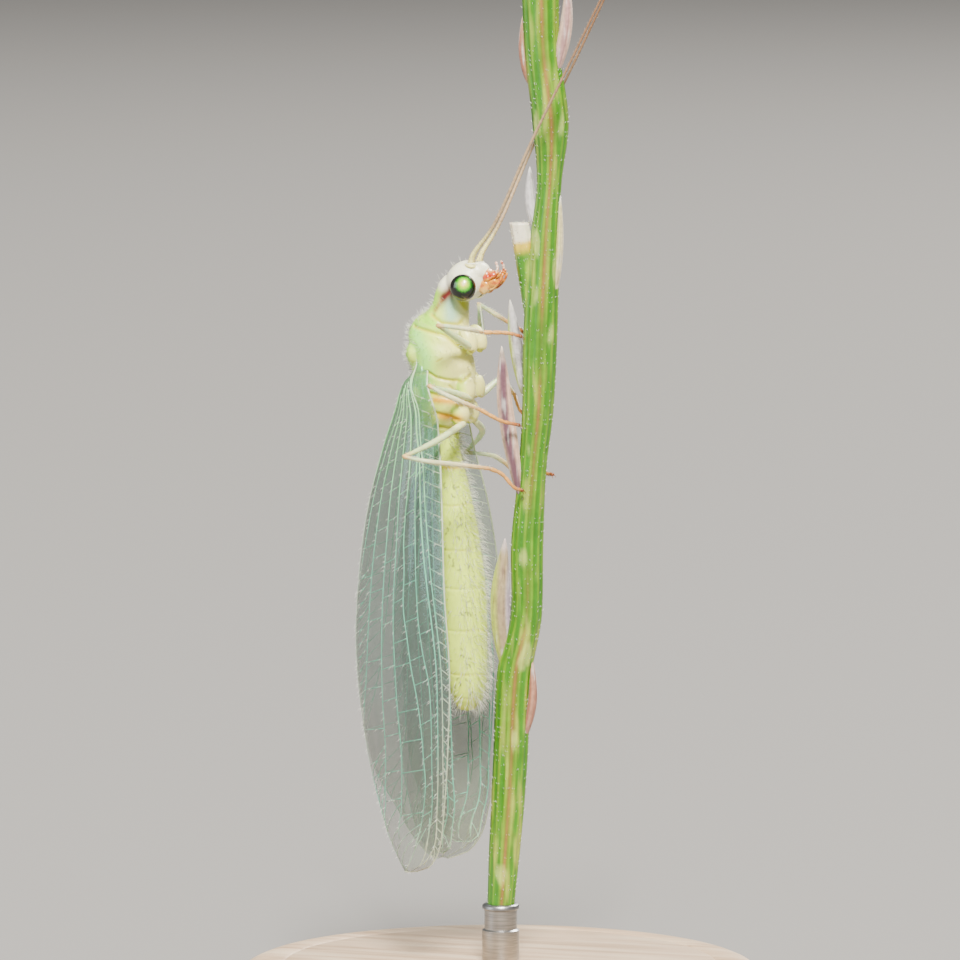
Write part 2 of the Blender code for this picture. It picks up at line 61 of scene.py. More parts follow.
# %% The camera
VIEW_TURN, VIEW_RISE = math.radians(20), math.radians(6)
VIEW_CENTRE = Vector((-0.574, 0.0, 14.85)) * MM
VIEW_DISTANCE = 220 * MM
VIEW_WIDTH = 25.74 * MM
SENSOR_WIDTH = 36.0

camera_data = bpy.data.cameras.new("camera")
camera_data.sensor_width = SENSOR_WIDTH
camera_data.lens = SENSOR_WIDTH * VIEW_DISTANCE / VIEW_WIDTH
camera_data.clip_start = VIEW_DISTANCE / 100
camera_data.clip_end = VIEW_DISTANCE * 100
camera = bpy.data.objects.new("camera", camera_data)
bpy.context.scene.collection.objects.link(camera)
bpy.context.scene.camera = camera
toward_camera = Vector((
    math.sin(VIEW_TURN) * math.cos(VIEW_RISE),
    -math.cos(VIEW_TURN) * math.cos(VIEW_RISE),
    math.sin(VIEW_RISE),
))
camera.location = VIEW_CENTRE + toward_camera * VIEW_DISTANCE
camera.rotation_euler = toward_camera.to_track_quat("Z", "Y").to_euler()
print("lens", round(camera_data.lens, 1), "mm, camera height", round(camera.location.z * 1000, 1), "mm")

# %% [markdown]
# Soft forms are easiest to give by a few stations: at a height, how far forward, how deep, how
# wide. A smooth curve through the stations then answers for every height between them. The same
# curve, run through points in space, gives the route of a leg, a feeler or a vein.

# %% Smooth curves through a few stations
def smooth(stations, t):
    """The values at t on a smooth curve through the stations, whose first value is t."""
    rows = sorted(stations)
    t = min(max(t, rows[0][0]), rows[-1][0])
    i = max(k for k in range(len(rows) - 1) if rows[k][0] <= t)

    def slope(k, j):
        before, after = rows[max(k - 1, 0)], rows[min(k + 1, len(rows) - 1)]
        return (after[j] - before[j]) / (after[0] - before[0])

    a, b = rows[i], rows[i + 1]
    span = b[0] - a[0]
    u = (t - a[0]) / span
    return [
        (2 * u**3 - 3 * u**2 + 1) * a[j] + (u**3 - 2 * u**2 + u) * span * slope(i, j)
        + (3 * u**2 - 2 * u**3) * b[j] + (u**3 - u**2) * span * slope(i + 1, j)
        for j in range(1, len(a))
    ]


def smooth_route(points, count):
    """count points along a smooth curve through the given ones."""
    stations = [(i, *point) for i, point in enumerate(points)]
    return [Vector(smooth(stations, i * (len(points) - 1) / (count - 1))) for i in range(count)]


def ramp(low, high, value):
    """0 below low, 1 above high, and an even, soft change between them."""
    t = np.clip((value - low) / (high - low), 0, 1)
    return t * t * (3 - 2 * t)


# %% [markdown]
# Legs, feelers, palps and veins are all tubes. Each one starts as a sphere primitive with one
# ring of points for each station of its route. Moving the rings to the stations turns the sphere
# into a tube that is already closed at both ends, with no seam and no caps to weld. The frame
# that carries the rings is turned as little as possible from point to point, so nothing twists.

# %% Tubes swept along a route
TUBE_END = 0.6  # how far the closed end stands out, in half widths


def route_frames(route):
    """At each point of a route: the way on, and two directions square to it that don't twist."""
    ways = []
    for i in range(len(route)):
        before, after = route[max(i - 1, 0)], route[min(i + 1, len(route) - 1)]
        ways.append((after - before).normalized())
    start = Vector((0, 0, 1)) if abs(ways[0].z) < 0.9 else Vector((1, 0, 0))
    across = ways[0].cross(start).normalized()
    frames = []
    for i, way in enumerate(ways):
        if i:
            across = ways[i - 1].rotation_difference(way) @ across
            across = (across - way * across.dot(way)).normalized()
        frames.append((way, across, way.cross(across)))
    return frames


def sweep(bm, route, radii, sides=8):
    """Adds a closed tube along a route of points in mm, with its half width at each point."""
    rings = len(route)
    frames = route_frames(route)
    made = bmesh.ops.create_uvsphere(bm, u_segments=sides, v_segments=rings + 1, radius=1)["verts"]
    for vert in made:
        k = round(math.acos(max(-1.0, min(1.0, vert.co.z))) * (rings + 1) / math.pi)
        angle = math.atan2(vert.co.y, vert.co.x)
        ring = min(max(k - 1, 0), rings - 1)
        way, across, up = frames[ring]
        if k == 0:
            vert.co = route[0] - way * radii[0] * TUBE_END
        elif k == rings + 1:
            vert.co = route[-1] + way * radii[-1] * TUBE_END
        else:
            around = across * math.cos(angle) + up * math.sin(angle)
            vert.co = route[ring] + around * radii[ring]
    return made


def add_ball(bm, middle, radii, lean=0.0, detail=24):
    """Adds an egg shape with its middle and radii in mm, leaned about Y."""
    place = Matrix.Translation(Vector(middle)) @ Matrix.Rotation(math.radians(lean), 4, "Y")
    place = place @ Matrix.Diagonal([*radii, 1])
    bmesh.ops.create_uvsphere(bm, u_segments=detail, v_segments=detail // 2, radius=1, matrix=place)


def finish_mesh(name, bm, scale=MM):
    """Turns a bmesh in mm into an object at the origin, with its faces outwards and smooth."""
    bmesh.ops.scale(bm, vec=(scale, scale, scale), verts=bm.verts)
    bmesh.ops.recalc_face_normals(bm, faces=bm.faces)
    mesh = bpy.data.meshes.new(name)
    bm.to_mesh(mesh)
    bm.free()
    mesh.shade_smooth()
    obj = bpy.data.objects.new(name, mesh)
    bpy.context.scene.collection.objects.link(obj)
    return obj


def apply_modifiers(obj):
    """Keeps what the modifiers make as the object's own mesh."""
    graph = bpy.context.evaluated_depsgraph_get()
    mesh = bpy.data.meshes.new_from_object(obj.evaluated_get(graph))
    obj.modifiers.clear()
    obj.data = mesh
    mesh.shade_smooth()


def points_of(obj, what="co"):
    """The places or normals of an object's points, as rows of three numbers."""
    mesh = obj.data
    values = np.empty(len(mesh.vertices) * 3, dtype=np.float32)
    if what == "co":
        mesh.vertices.foreach_get("co", values)
    else:
        mesh.vertex_normals.foreach_get("vector", values)
    return values.reshape(-1, 3).astype(float)


def set_points(obj, places):
    obj.data.vertices.foreach_set("co", places.astype(np.float32).ravel())
    obj.data.update()


def mark(obj, name, values):
    """Stores one number for each point, for a material to read by its name."""
    attribute = obj.data.attributes.new(name, "FLOAT", "POINT")
    attribute.data.foreach_set("value", np.asarray(values, dtype=np.float32))


def place_piece(obj, material, slot, *nodes):
    """Gives a finished piece its material, its body and the solids that it stands for."""
    obj.data.materials.clear()
    obj.data.materials.append(material)
    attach(obj, "root")
    if nodes:
        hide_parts(*nodes)
    faces = len(obj.data.polygons)
    print(obj.name, faces, "faces", "for " + ", ".join(nodes) if nodes else "")
    return obj

# %% [markdown]
# Finishes shared by many surfaces are built once, as node groups. "mottle" breaks a colour up
# into faint lighter and darker clouds, as in any living cuticle. "grain" turns fine noise into
# a small bump. Both read Object coordinates, so the pattern stays fixed in real millimetres.

# %% Shared finishes
USUAL_MOTTLE = (4000.0, 0.15)  # scale and amount
USUAL_GRAIN = (20000.0, 0.2)  # scale and strength


def start_group(name, inputs, outputs):
    """A new shader node group with these sockets: (name, kind, default)."""
    group = bpy.data.node_groups.new(name, "ShaderNodeTree")
    for label, kind, default in inputs:
        socket = group.interface.new_socket(label, in_out="INPUT", socket_type=kind)
        if default is not None:
            socket.default_value = default
    for label, kind in outputs:
        group.interface.new_socket(label, in_out="OUTPUT", socket_type=kind)
    return group, group.nodes.new("NodeGroupInput"), group.nodes.new("NodeGroupOutput")


def add_node(tree, kind, operation=None, **values):
    """A new node, with plain values on its sockets: From_Min=0.3 sets "From Min"."""
    node = tree.nodes.new("ShaderNode" + kind)
    if operation:
        node.operation = operation
    for label, value in values.items():
        node.inputs[label.replace("_", " ")].default_value = value
    return node


def join(tree, *pairs):
    """Links an output to an input, for each pair given as (node, output, node, input)."""
    for source, output, target, entry in pairs:
        tree.links.new(source.outputs[output], target.inputs[entry])


def make_mottle():
    sockets = [
        ("Color", "NodeSocketColor", None),
        ("Scale", "NodeSocketFloat", USUAL_MOTTLE[0]),
        ("Amount", "NodeSocketFloat", USUAL_MOTTLE[1]),
    ]
    group, inside, outside = start_group("mottle", sockets, [("Color", "NodeSocketColor")])
    coordinates = add_node(group, "TexCoord")
    cloud = add_node(group, "TexNoise", Detail=4)
    spread = add_node(group, "MapRange", From_Min=0.3, From_Max=0.7)
    lower = add_node(group, "Math", "SUBTRACT")
    lower.inputs[0].default_value = 1.0
    lift = add_node(group, "Math", "MULTIPLY_ADD")
    scale = add_node(group, "VectorMath", "SCALE")
    join(
        group,
        (coordinates, "Object", cloud, "Vector"), (inside, "Scale", cloud, "Scale"),
        (cloud, "Fac", spread, "Value"), (inside, "Amount", lower, 1),
        (spread, "Result", lift, 0), (inside, "Amount", lift, 1), (lower, "Value", lift, 2),
        (inside, "Color", scale, 0), (lift, "Value", scale, "Scale"), (scale, "Vector", outside, "Color"),
    )
    return group


def make_grain():
    sockets = [
        ("Scale", "NodeSocketFloat", USUAL_GRAIN[0]),
        ("Strength", "NodeSocketFloat", USUAL_GRAIN[1]),
    ]
    group, inside, outside = start_group("grain", sockets, [("Normal", "NodeSocketVector")])
    coordinates = add_node(group, "TexCoord")
    fine_noise = add_node(group, "TexNoise", Detail=3)
    bump = add_node(group, "Bump", Distance=0.02 * MM)
    join(
        group,
        (coordinates, "Object", fine_noise, "Vector"), (inside, "Scale", fine_noise, "Scale"),
        (fine_noise, "Fac", bump, "Height"), (inside, "Strength", bump, "Strength"),
        (bump, "Normal", outside, "Normal"),
    )
    return group


MOTTLE, GRAIN = make_mottle(), make_grain()


def make_material(name, roughness=0.4, **inputs):
    """A new material with its shader, and plain values on the shader's own sockets."""
    material = bpy.data.materials.new(name)
    material.use_nodes = True
    shader = material.node_tree.nodes["Principled BSDF"]
    shader.inputs["Roughness"].default_value = roughness
    for label, value in inputs.items():
        shader.inputs[label.replace("_", " ").title().replace("Ior", "IOR")].default_value = value
    return material, material.node_tree, shader


def use_group(tree, group, **values):
    node = add_node(tree, "Group")
    node.node_tree = group
    for label, value in values.items():
        node.inputs[label.title()].default_value = value
    return node


def read_attribute(tree, name):
    node = add_node(tree, "Attribute")
    node.attribute_name = name
    return node


def colour_ramp(tree, stops, source):
    """A ramp through (place, colour) stops, driven by a socket."""
    node = add_node(tree, "ValToRGB")
    elements = node.color_ramp.elements
    for i, (place, colour) in enumerate(stops):
        element = elements[i] if i < 2 else elements.new(place)
        element.position = place
        element.color = (*colour, 1)
    tree.links.new(source, node.inputs["Fac"])
    return node.outputs["Color"]


def finish_material(tree, shader, colour, mottle=USUAL_MOTTLE, grain=USUAL_GRAIN):
    """Sends a colour through the mottle and a fine bump into the shader."""
    mottled = use_group(tree, MOTTLE, scale=mottle[0], amount=mottle[1])
    bumps = use_group(tree, GRAIN, scale=grain[0], strength=grain[1])
    tree.links.new(colour, mottled.inputs["Color"])
    join(tree, (mottled, "Color", shader, "Base Color"), (bumps, "Normal", shader, "Normal"))


def stretched_noise(tree, stretch, **values):
    """Noise that is drawn out along the axes whose number is least; returns its socket."""
    coordinates = add_node(tree, "TexCoord")
    mapping = add_node(tree, "Mapping", Scale=stretch)
    drawn = add_node(tree, "TexNoise", **values)
    join(tree, (coordinates, "Object", mapping, "Vector"), (mapping, "Vector", drawn, "Vector"))
    return drawn.outputs["Fac"]


def coloured_by_attribute(name, roughness=0.4, mottle=USUAL_MOTTLE, grain=USUAL_GRAIN, **inputs):
    """A material that takes the colours stored in the mesh."""
    material, tree, shader = make_material(name, roughness, **inputs)
    finish_material(tree, shader, read_attribute(tree, "colour").outputs["Color"], mottle, grain)
    return material


def store_colours(obj, colours):
    """Keeps one colour for each point in the mesh, for the material to read."""
    attribute = obj.data.attributes.new("colour", "FLOAT_COLOR", "POINT")
    rows = np.ones((len(colours), 4), dtype=np.float32)
    rows[:, :3] = np.clip(colours, 0, 1)
    attribute.data.foreach_set("color", rows.ravel())


def all_of(places, colour):
    """One row of the same colour for each place, to tint from there."""
    return np.tile(np.array(colour, dtype=float), (len(places), 1))


def tint(colours, colour, mask):
    """Mixes a colour in where the mask is near 1."""
    colours += (np.array(colour) - colours) * np.clip(mask, 0, 1)[:, None]


# %% [markdown]
# The skin of the body is one closed surface from the lips to the tail. Its parts are laid over
# each other: a trunk lofted through the rings of the solids, the head, the two hips of each pair
# of legs and the humps that move the wings. A voxel remesh melts them together and gives small,
# even faces everywhere, so that furrows and folds can then be pressed in afterwards.

# %% The rough body, before its furrows
# height, middle in X, half depth, half width, and how far the ring leans down towards the belly
BODY_RINGS = [
    (20.32, -1.36, 0.18, 0.24, 0.10),
    (20.15, -1.42, 0.27, 0.32, 0.10),
    (19.98, -1.40, 0.36, 0.37, 0.10),
    (19.72, -1.38, 0.47, 0.42, 0.10),
    (19.45, -1.42, 0.51, 0.46, 0.15),
    (19.15, -1.53, 0.62, 0.53, 0.25),
    (18.92, -1.62, 0.73, 0.60, 0.35),
    (18.60, -1.67, 0.84, 0.69, 0.42),
    (18.40, -1.68, 0.90, 0.76, 0.38),
    (18.15, -1.64, 0.89, 0.80, 0.32),
    (17.90, -1.61, 0.87, 0.80, 0.30),
    (17.55, -1.62, 0.86, 0.77, 0.30),
    (17.25, -1.61, 0.85, 0.74, 0.20),
    (16.95, -1.59, 0.82, 0.70, 0.10),
    (16.65, -1.57, 0.75, 0.63, 0.00),
    (16.40, -1.58, 0.64, 0.55, -0.10),
    (16.06, -1.63, 0.45, 0.44, -0.20),
    (15.50, -1.57, 0.44, 0.43, 0.00),
    (14.70, -1.41, 0.48, 0.46, 0.00),
    (13.80, -1.25, 0.53, 0.51, 0.00),
    (12.90, -1.14, 0.57, 0.55, 0.00),
    (11.60, -1.03, 0.61, 0.59, 0.00),
    (10.30, -1.00, 0.60, 0.58, 0.00),
    (9.50, -0.95, 0.54, 0.52, 0.00),
    (9.00, -0.93, 0.44, 0.42, 0.00),
    (8.72, -0.95, 0.28, 0.27, 0.00),
]
BODY_SIDES, BODY_LINES = 48, 180
HEAD_MIDDLE, HEAD_RADII, HEAD_LEAN = (-0.94, 0.0, 20.21), (0.59, 0.57, 0.53), -30
BROW = ((-0.62, 0.0, 20.46), (0.32, 0.40, 0.28))
EYE_MIDDLE, EYE_RADII = (-0.86, 0.54, 20.06), (0.36, 0.30, 0.36)
WING_HUMPS = [
    ((-2.25, 0.34, 18.25), (0.30, 0.32, 0.34)),
    ((-2.42, 0.0, 17.98), (0.16, 0.26, 0.20)),
    ((-2.16, 0.34, 17.15), (0.28, 0.30, 0.30)),
    ((-2.22, 0.0, 16.95), (0.20, 0.24, 0.20)),
]
HIPS = [
    ((-0.78, 0.36, 18.62), (0.25, 0.25, 0.40), -20),
    ((-0.84, 0.38, 17.36), (0.26, 0.27, 0.38), -14),
    ((-1.02, 0.38, 16.68), (0.27, 0.27, 0.38), -8),
]
LIP_PLATE = ((-0.46, 0.0, 20.42), (0.20, 0.30, 0.20))
TAIL_END = ((-0.95, 0, BODY_RINGS[-1][0]), (0.27, 0.26, 0.12))
EYE_RIM_Y = 0.47
FEELER_SOCKET = (-0.72, 0.255, 20.68)
SKIN_GRAIN = 0.027  # edge of one voxel
SKIN_SMOOTHING = 5


def loft(bm, rings, sides, place):
    """Adds a closed form: place(share, angle) is a point in mm, and share runs from 0 to 1 along it."""
    made = bmesh.ops.create_uvsphere(bm, u_segments=sides, v_segments=rings + 1, radius=1)["verts"]
    for vert in made:
        k = round(math.acos(max(-1.0, min(1.0, vert.co.z))) * (rings + 1) / math.pi)
        share = min(max(k - 1, 0), rings - 1) / (rings - 1)
        if k in (0, rings + 1):
            vert.co = (Vector(place(share, 0)) + Vector(place(share, math.pi))) / 2
        else:
            vert.co = place(share, math.atan2(vert.co.y, vert.co.x))
    return made


def add_ring(bm, middle, flat, radius, thick):
    """Adds a thin round rim; it lies flat in the XZ plane for "X" and level for "Z"."""
    turn = Matrix.Rotation(math.radians(90), 4, "X") if flat == "X" else Matrix.Identity(4)
    place = Matrix.Translation(Vector(middle)) @ turn
    start = bmesh.ops.create_circle(
        bm, segments=10, radius=thick,
        matrix=place @ Matrix.Translation((radius, 0, 0)) @ Matrix.Rotation(math.radians(90), 4, "X"),
    )["verts"]
    edges = list({edge for vert in start for edge in vert.link_edges})
    axis = place.to_3x3() @ Vector((0, 0, 1))
    bmesh.ops.spin(
        bm, geom=start + edges, cent=middle, axis=axis, angle=math.tau, steps=48, use_merge=True,
    )


def trunk_point(share, angle):
    """A point of the trunk; each ring leans forward with how far it lies from the middle."""
    z = BODY_RINGS[0][0] + (BODY_RINGS[-1][0] - BODY_RINGS[0][0]) * share
    x, depth, width, lean = smooth(BODY_RINGS, z)
    forward = depth * math.cos(angle)
    return x + forward, width * math.sin(angle), z - lean * forward


def build_rough_body():
    bm = bmesh.new()
    loft(bm, BODY_LINES, BODY_SIDES, trunk_point)
    add_ball(bm, *TAIL_END)
    add_ball(bm, HEAD_MIDDLE, HEAD_RADII, HEAD_LEAN, detail=40)
    add_ball(bm, *BROW)
    add_ball(bm, *LIP_PLATE)
    for side in SIDES.values():
        add_ring(bm, (EYE_MIDDLE[0], side * EYE_RIM_Y, EYE_MIDDLE[2]), "X", EYE_RADII[0] * 0.93, 0.045)
        x, y, z = FEELER_SOCKET
        add_ring(bm, (x, side * y, z), "Z", 0.135, 0.035)
        for (x, y, z), radii in WING_HUMPS:
            if y or side == 1:
                add_ball(bm, (x, side * y, z), radii)
        for (x, y, z), radii, lean in HIPS:
            add_ball(bm, (x, side * y, z), radii, lean)
    body = finish_mesh("body_skin", bm, scale=1)
    remesh = body.modifiers.new("remesh", "REMESH")
    remesh.mode = "VOXEL"
    remesh.voxel_size = SKIN_GRAIN
    relax = body.modifiers.new("relax", "SMOOTH")
    relax.factor = 0.5
    relax.iterations = SKIN_SMOOTHING
    apply_modifiers(body)
    return body


body_skin = build_rough_body()
print("body skin:", len(body_skin.data.polygons), "faces")

# %% [markdown]
# Furrows are pressed in by number. Each plate border of the thorax is a line on the side view,
# and every point of the skin sinks by how near it lies to that line. The abdomen has a ring for
# each segment, with the skin swelling softly between the rings. The same distances give the
# colours, so the yellow-green of a furrow always lies exactly in the furrow.

# %% Furrows, segments and colours of the skin
FURROWS = [  # (X, height) along each line, on both flanks; then depth and half width
    ([(-2.33, 18.98), (-1.51, 18.80), (-1.32, 18.74), (-1.07, 18.51), (-0.83, 18.33), (-0.61, 18.30)],
     0.060, 0.045),
    ([(-2.50, 17.70), (-1.78, 17.78), (-1.57, 17.66), (-1.26, 17.58), (-0.89, 17.55), (-0.58, 17.84),
      (-0.46, 18.07)], 0.050, 0.045),
    ([(-1.52, 18.08), (-1.38, 18.16)], 0.010, 0.020),
    ([(-1.02, 18.86), (-0.86, 18.66), (-0.78, 18.45)], 0.020, 0.03),
    ([(-1.20, 17.42), (-0.98, 17.20), (-0.86, 16.98)], 0.025, 0.035),
    ([(-1.75, 17.20), (-1.30, 17.12), (-0.70, 17.00)], 0.045, 0.06),
    ([(-1.60, 16.66), (-1.20, 16.56), (-0.90, 16.46)], 0.045, 0.07),
    ([(-1.62, 16.30), (-1.20, 16.22), (-0.95, 16.25)], 0.045, 0.06),
    ([(-1.78, 19.30), (-1.50, 19.10), (-1.05, 19.05), (-0.92, 19.22)], 0.025, 0.05),
]
SEGMENT_ENDS = [16.12, 15.20, 14.20, 13.00, 11.95, 10.80, 9.60, 9.00]
SEGMENT_DEPTH, SEGMENT_WIDTH = 0.014, 0.035
DARK_RING = SEGMENT_ENDS[1]
NECK_CREASE, NECK_CREASE_DEPTH = [(-1.20, 20.02), (-1.52, 19.72)], 0.05
AMBER_HOLLOWS = [
    [(-1.60, 17.04), (-1.20, 17.02), (-0.80, 17.00)],
    [(-1.46, 16.60), (-1.15, 16.58), (-0.95, 16.55)],
]
CHEEK_STRIPE = [(-1.20, 20.00), (-1.46, 19.77)]
CHEEK_FADE = [(-1.46, 19.77), (-1.69, 19.42)]
SHOULDER = [(-2.2, 18.8), (-1.85, 18.2), (-1.9, 17.2)]
COLLAR = [(-1.95, 19.15), (-1.45, 18.98)]
THROAT = [(-1.30, 19.72), (-1.22, 19.25)]
BREAST = [(-0.98, 18.95), (-0.66, 18.5)]
CREAM = (0.94, 0.86, 0.32)
WHITE = (0.94, 0.91, 0.66)
LIME = (0.30, 0.82, 0.0)
MINT = (0.28, 0.80, 0.14)
PALE_GREEN = (0.74, 0.92, 0.10)
YELLOW_GREEN = (0.58, 0.55, 0.0)
AMBER = (0.82, 0.38, 0.0)
DARK_RED = (0.12, 0.0, 0.0)
RED_BROWN = (0.28, 0.06, 0.01)
OLIVE = (0.42, 0.46, 0.0)
BLUE_GREEN = (0.32, 0.62, 0.46)
BACK_YELLOW = (0.90, 0.88, 0.30)
MARK_GREEN = (0.10, 0.13, 0.05)
STROKES = 12  # dark strokes on each segment, half of them on each flank


def line_distance(places, line):
    """How far each place lies from a line of points, in the side view."""
    best = np.full(len(places), np.inf)
    flat = places[:, [0, 2]]
    for start, end in zip(line, line[1:]):
        start, run = np.array(start), np.array(end) - np.array(start)
        along = np.clip((flat - start) @ run / (run @ run), 0, 1)
        best = np.minimum(best, np.linalg.norm(flat - start - along[:, None] * run, axis=1))
    return best


def near_line(places, line, width):
    """Near 1 on the line and fading to both sides of it."""
    return np.exp(-((line_distance(places, line) / width) ** 2))


def segment_rings(places):
    """Near 1 in the groove between two segments of the abdomen."""
    below = ramp(16.4, 16.1, places[:, 2])
    total = np.zeros(len(places))
    for end in SEGMENT_ENDS:
        wave = 0.03 * np.sin(places[:, 1] * 6 + end * 5)
        total += np.exp(-(((places[:, 2] - end - wave) / SEGMENT_WIDTH) ** 2))
    return total * below


def clouds(places, scale, seed=0.0):
    """Smooth noise from -1 to 1 at each place."""
    return np.array([noise.noise(Vector(place) * scale + Vector((seed, seed, seed))) for place in places])


def carve_body(body):
    """Presses the furrows in and swells the skin between them; returns where they lie."""
    places, normals = points_of(body), points_of(body, "normal")
    flank = ramp(0.10, 0.30, np.abs(places[:, 1]))
    sink = np.zeros(len(places))
    furrow = np.zeros(len(places))
    for line, depth, width in FURROWS:
        mask = near_line(places, line, width) * flank
        sink += depth * mask
        furrow = np.maximum(furrow, mask)
    rings = segment_rings(places)
    sink += SEGMENT_DEPTH * rings
    sink += NECK_CREASE_DEPTH * near_line(places, NECK_CREASE, 0.05) * flank
    swell = clouds(places, 2.2) * 0.012 + clouds(places, 9.0, 5.0) * 0.004
    set_points(body, places + normals * (swell - sink)[:, None])
    return furrow, rings


def body_colours(body, furrow, rings):
    """The colours of the skin, from the broad fields to the narrow stripes."""
    places, normals = points_of(body), points_of(body, "normal")
    x, y, z = places.T
    abdomen = ramp(16.35, 16.05, z)
    head = ramp(19.62, 19.90, z + 0.35 * (x + 1.0))
    colours = all_of(places, PALE_GREEN)
    belly = ramp(-0.2, 0.8, normals[:, 0])
    back = ramp(-0.1, -0.8, normals[:, 0])
    tint(colours, CREAM, belly * (1 - abdomen) * 0.85)
    tint(colours, LIME, back * (1 - abdomen) * (1 - head) * 0.75)
    tint(colours, MINT, near_line(places, SHOULDER, 0.28) * (1 - abdomen) * 0.8)
    tint(colours, LIME, near_line(places, COLLAR, 0.16) * 0.7)
    tint(colours, BLUE_GREEN, near_line(places, THROAT, 0.22) * (1 - head) * 0.85)
    tint(colours, CREAM, near_line(places, BREAST, 0.2) * 0.8)
    wedge = ramp(0.0, 0.08, x + 0.95 + 0.55 * (z - 19.36)) * ramp(19.32, 19.42, z) * (1 - head)
    tint(colours, OLIVE, wedge * 0.9)
    stripe = np.exp(-((y / 0.14) ** 2)) * ramp(-0.2, -0.7, normals[:, 0]) * (1 - head)
    tint(colours, BACK_YELLOW, stripe * 0.7)
    tint(colours, WHITE, head)
    tint(colours, YELLOW_GREEN, furrow * (1 - abdomen) * 0.85)
    for line in AMBER_HOLLOWS:
        tint(colours, AMBER, near_line(places, line, 0.11) * ramp(0.3, 0.5, np.abs(y)) * 0.95)
    broken = ramp(-0.5, 0.4, clouds(places, 2.5, 3.0))
    tint(colours, YELLOW_GREEN, rings * broken * 0.45)
    dark_ring = np.exp(-(((z - DARK_RING) / 0.06) ** 2)) * ramp(-0.3, 0.4, normals[:, 0])
    tint(colours, AMBER, dark_ring * 0.6)
    side = ramp(0.20, 0.32, np.abs(y))
    tint(colours, RED_BROWN, near_line(places, CHEEK_FADE, 0.075) * side * 0.7)
    tint(colours, DARK_RED, near_line(places, CHEEK_STRIPE, 0.17) * side)
    return colours


def abdomen_marks(places, rng):
    """The small dark strokes on the flanks, a few to each segment."""
    mask = np.zeros(len(places))
    for high, low in zip(SEGMENT_ENDS[1:], SEGMENT_ENDS[2:]):
        for number in range(STROKES):
            middle = (high + low) / 2 + rng.normal(0, 0.16)
            x = smooth(BODY_RINGS, middle)[0] + rng.uniform(-0.30, 0.36)
            turn = rng.uniform(0, math.tau)
            reach = rng.uniform(0.03, 0.075)
            bend = [turn - 0.9, turn, turn + 0.9]
            line = [(x + reach * math.cos(a), middle + reach * math.sin(a)) for a in bend]
            on_side = places[:, 1] * (1 if number % 2 else -1) > 0
            mask = np.maximum(mask, near_line(places, line, 0.020) * on_side)
    return mask


furrow_mask, ring_mask = carve_body(body_skin)
skin_colours = body_colours(body_skin, furrow_mask, ring_mask)
mark_mask = abdomen_marks(points_of(body_skin), np.random.default_rng(7))
tint(skin_colours, MARK_GREEN, mark_mask * 0.8)
store_colours(body_skin, skin_colours)
skin_places, skin_normals = points_of(body_skin), points_of(body_skin, "normal")
set_points(body_skin, skin_places * MM)
skin_material = coloured_by_attribute(
    "living_cuticle", 0.38, mottle=(2500.0, 0.12), grain=(16000.0, 0.25),
    subsurface_weight=0.25, subsurface_scale=0.15 * MM, coat_weight=0.15, coat_roughness=0.3,
)
skin_material.node_tree.nodes["Principled BSDF"].inputs["Subsurface Radius"].default_value = (1.0, 1.0, 0.5)
place_piece(body_skin, skin_material, "flesh", "head", "prothorax", "mesothorax", "metathorax", "abdomen")

# %% [markdown]
# Every fine hair of the insect is a real, thin cone, because particle hair would be lost when the
# model is sent out. One cone is made with the cone operator, and then repeated by arithmetic: each
# copy is stood on its root, pointed along its own way and bent over. Each hair also gets a small
# patch in a UV map, at its root's place on an unwrap of the surface that it grows from.

# %% Hairs as one joined mesh
HAIR_SIDES = 3
UV_PATCH = 0.003


def hair_template(rings):
    """Points (around, up) and triangles of one small cone of unit height."""
    bm = bmesh.new()
    bmesh.ops.create_cone(bm, cap_ends=True, segments=HAIR_SIDES, radius1=1, radius2=0.12, depth=1)
    long_edges = [edge for edge in bm.edges if abs(edge.verts[0].co.z - edge.verts[1].co.z) > 0.5]
    bmesh.ops.subdivide_edges(bm, edges=long_edges, cuts=rings - 1)
    bmesh.ops.triangulate(bm, faces=bm.faces)
    bmesh.ops.recalc_face_normals(bm, faces=bm.faces)
    bm.verts.index_update()
    points = np.array([vert.co for vert in bm.verts])
    faces = np.array([[vert.index for vert in face.verts] for face in bm.faces])
    bm.free()
    points[:, 2] += 0.5
    return points, faces


def unit(vectors):
    return vectors / np.maximum(np.linalg.norm(vectors, axis=1, keepdims=True), 1e-9)


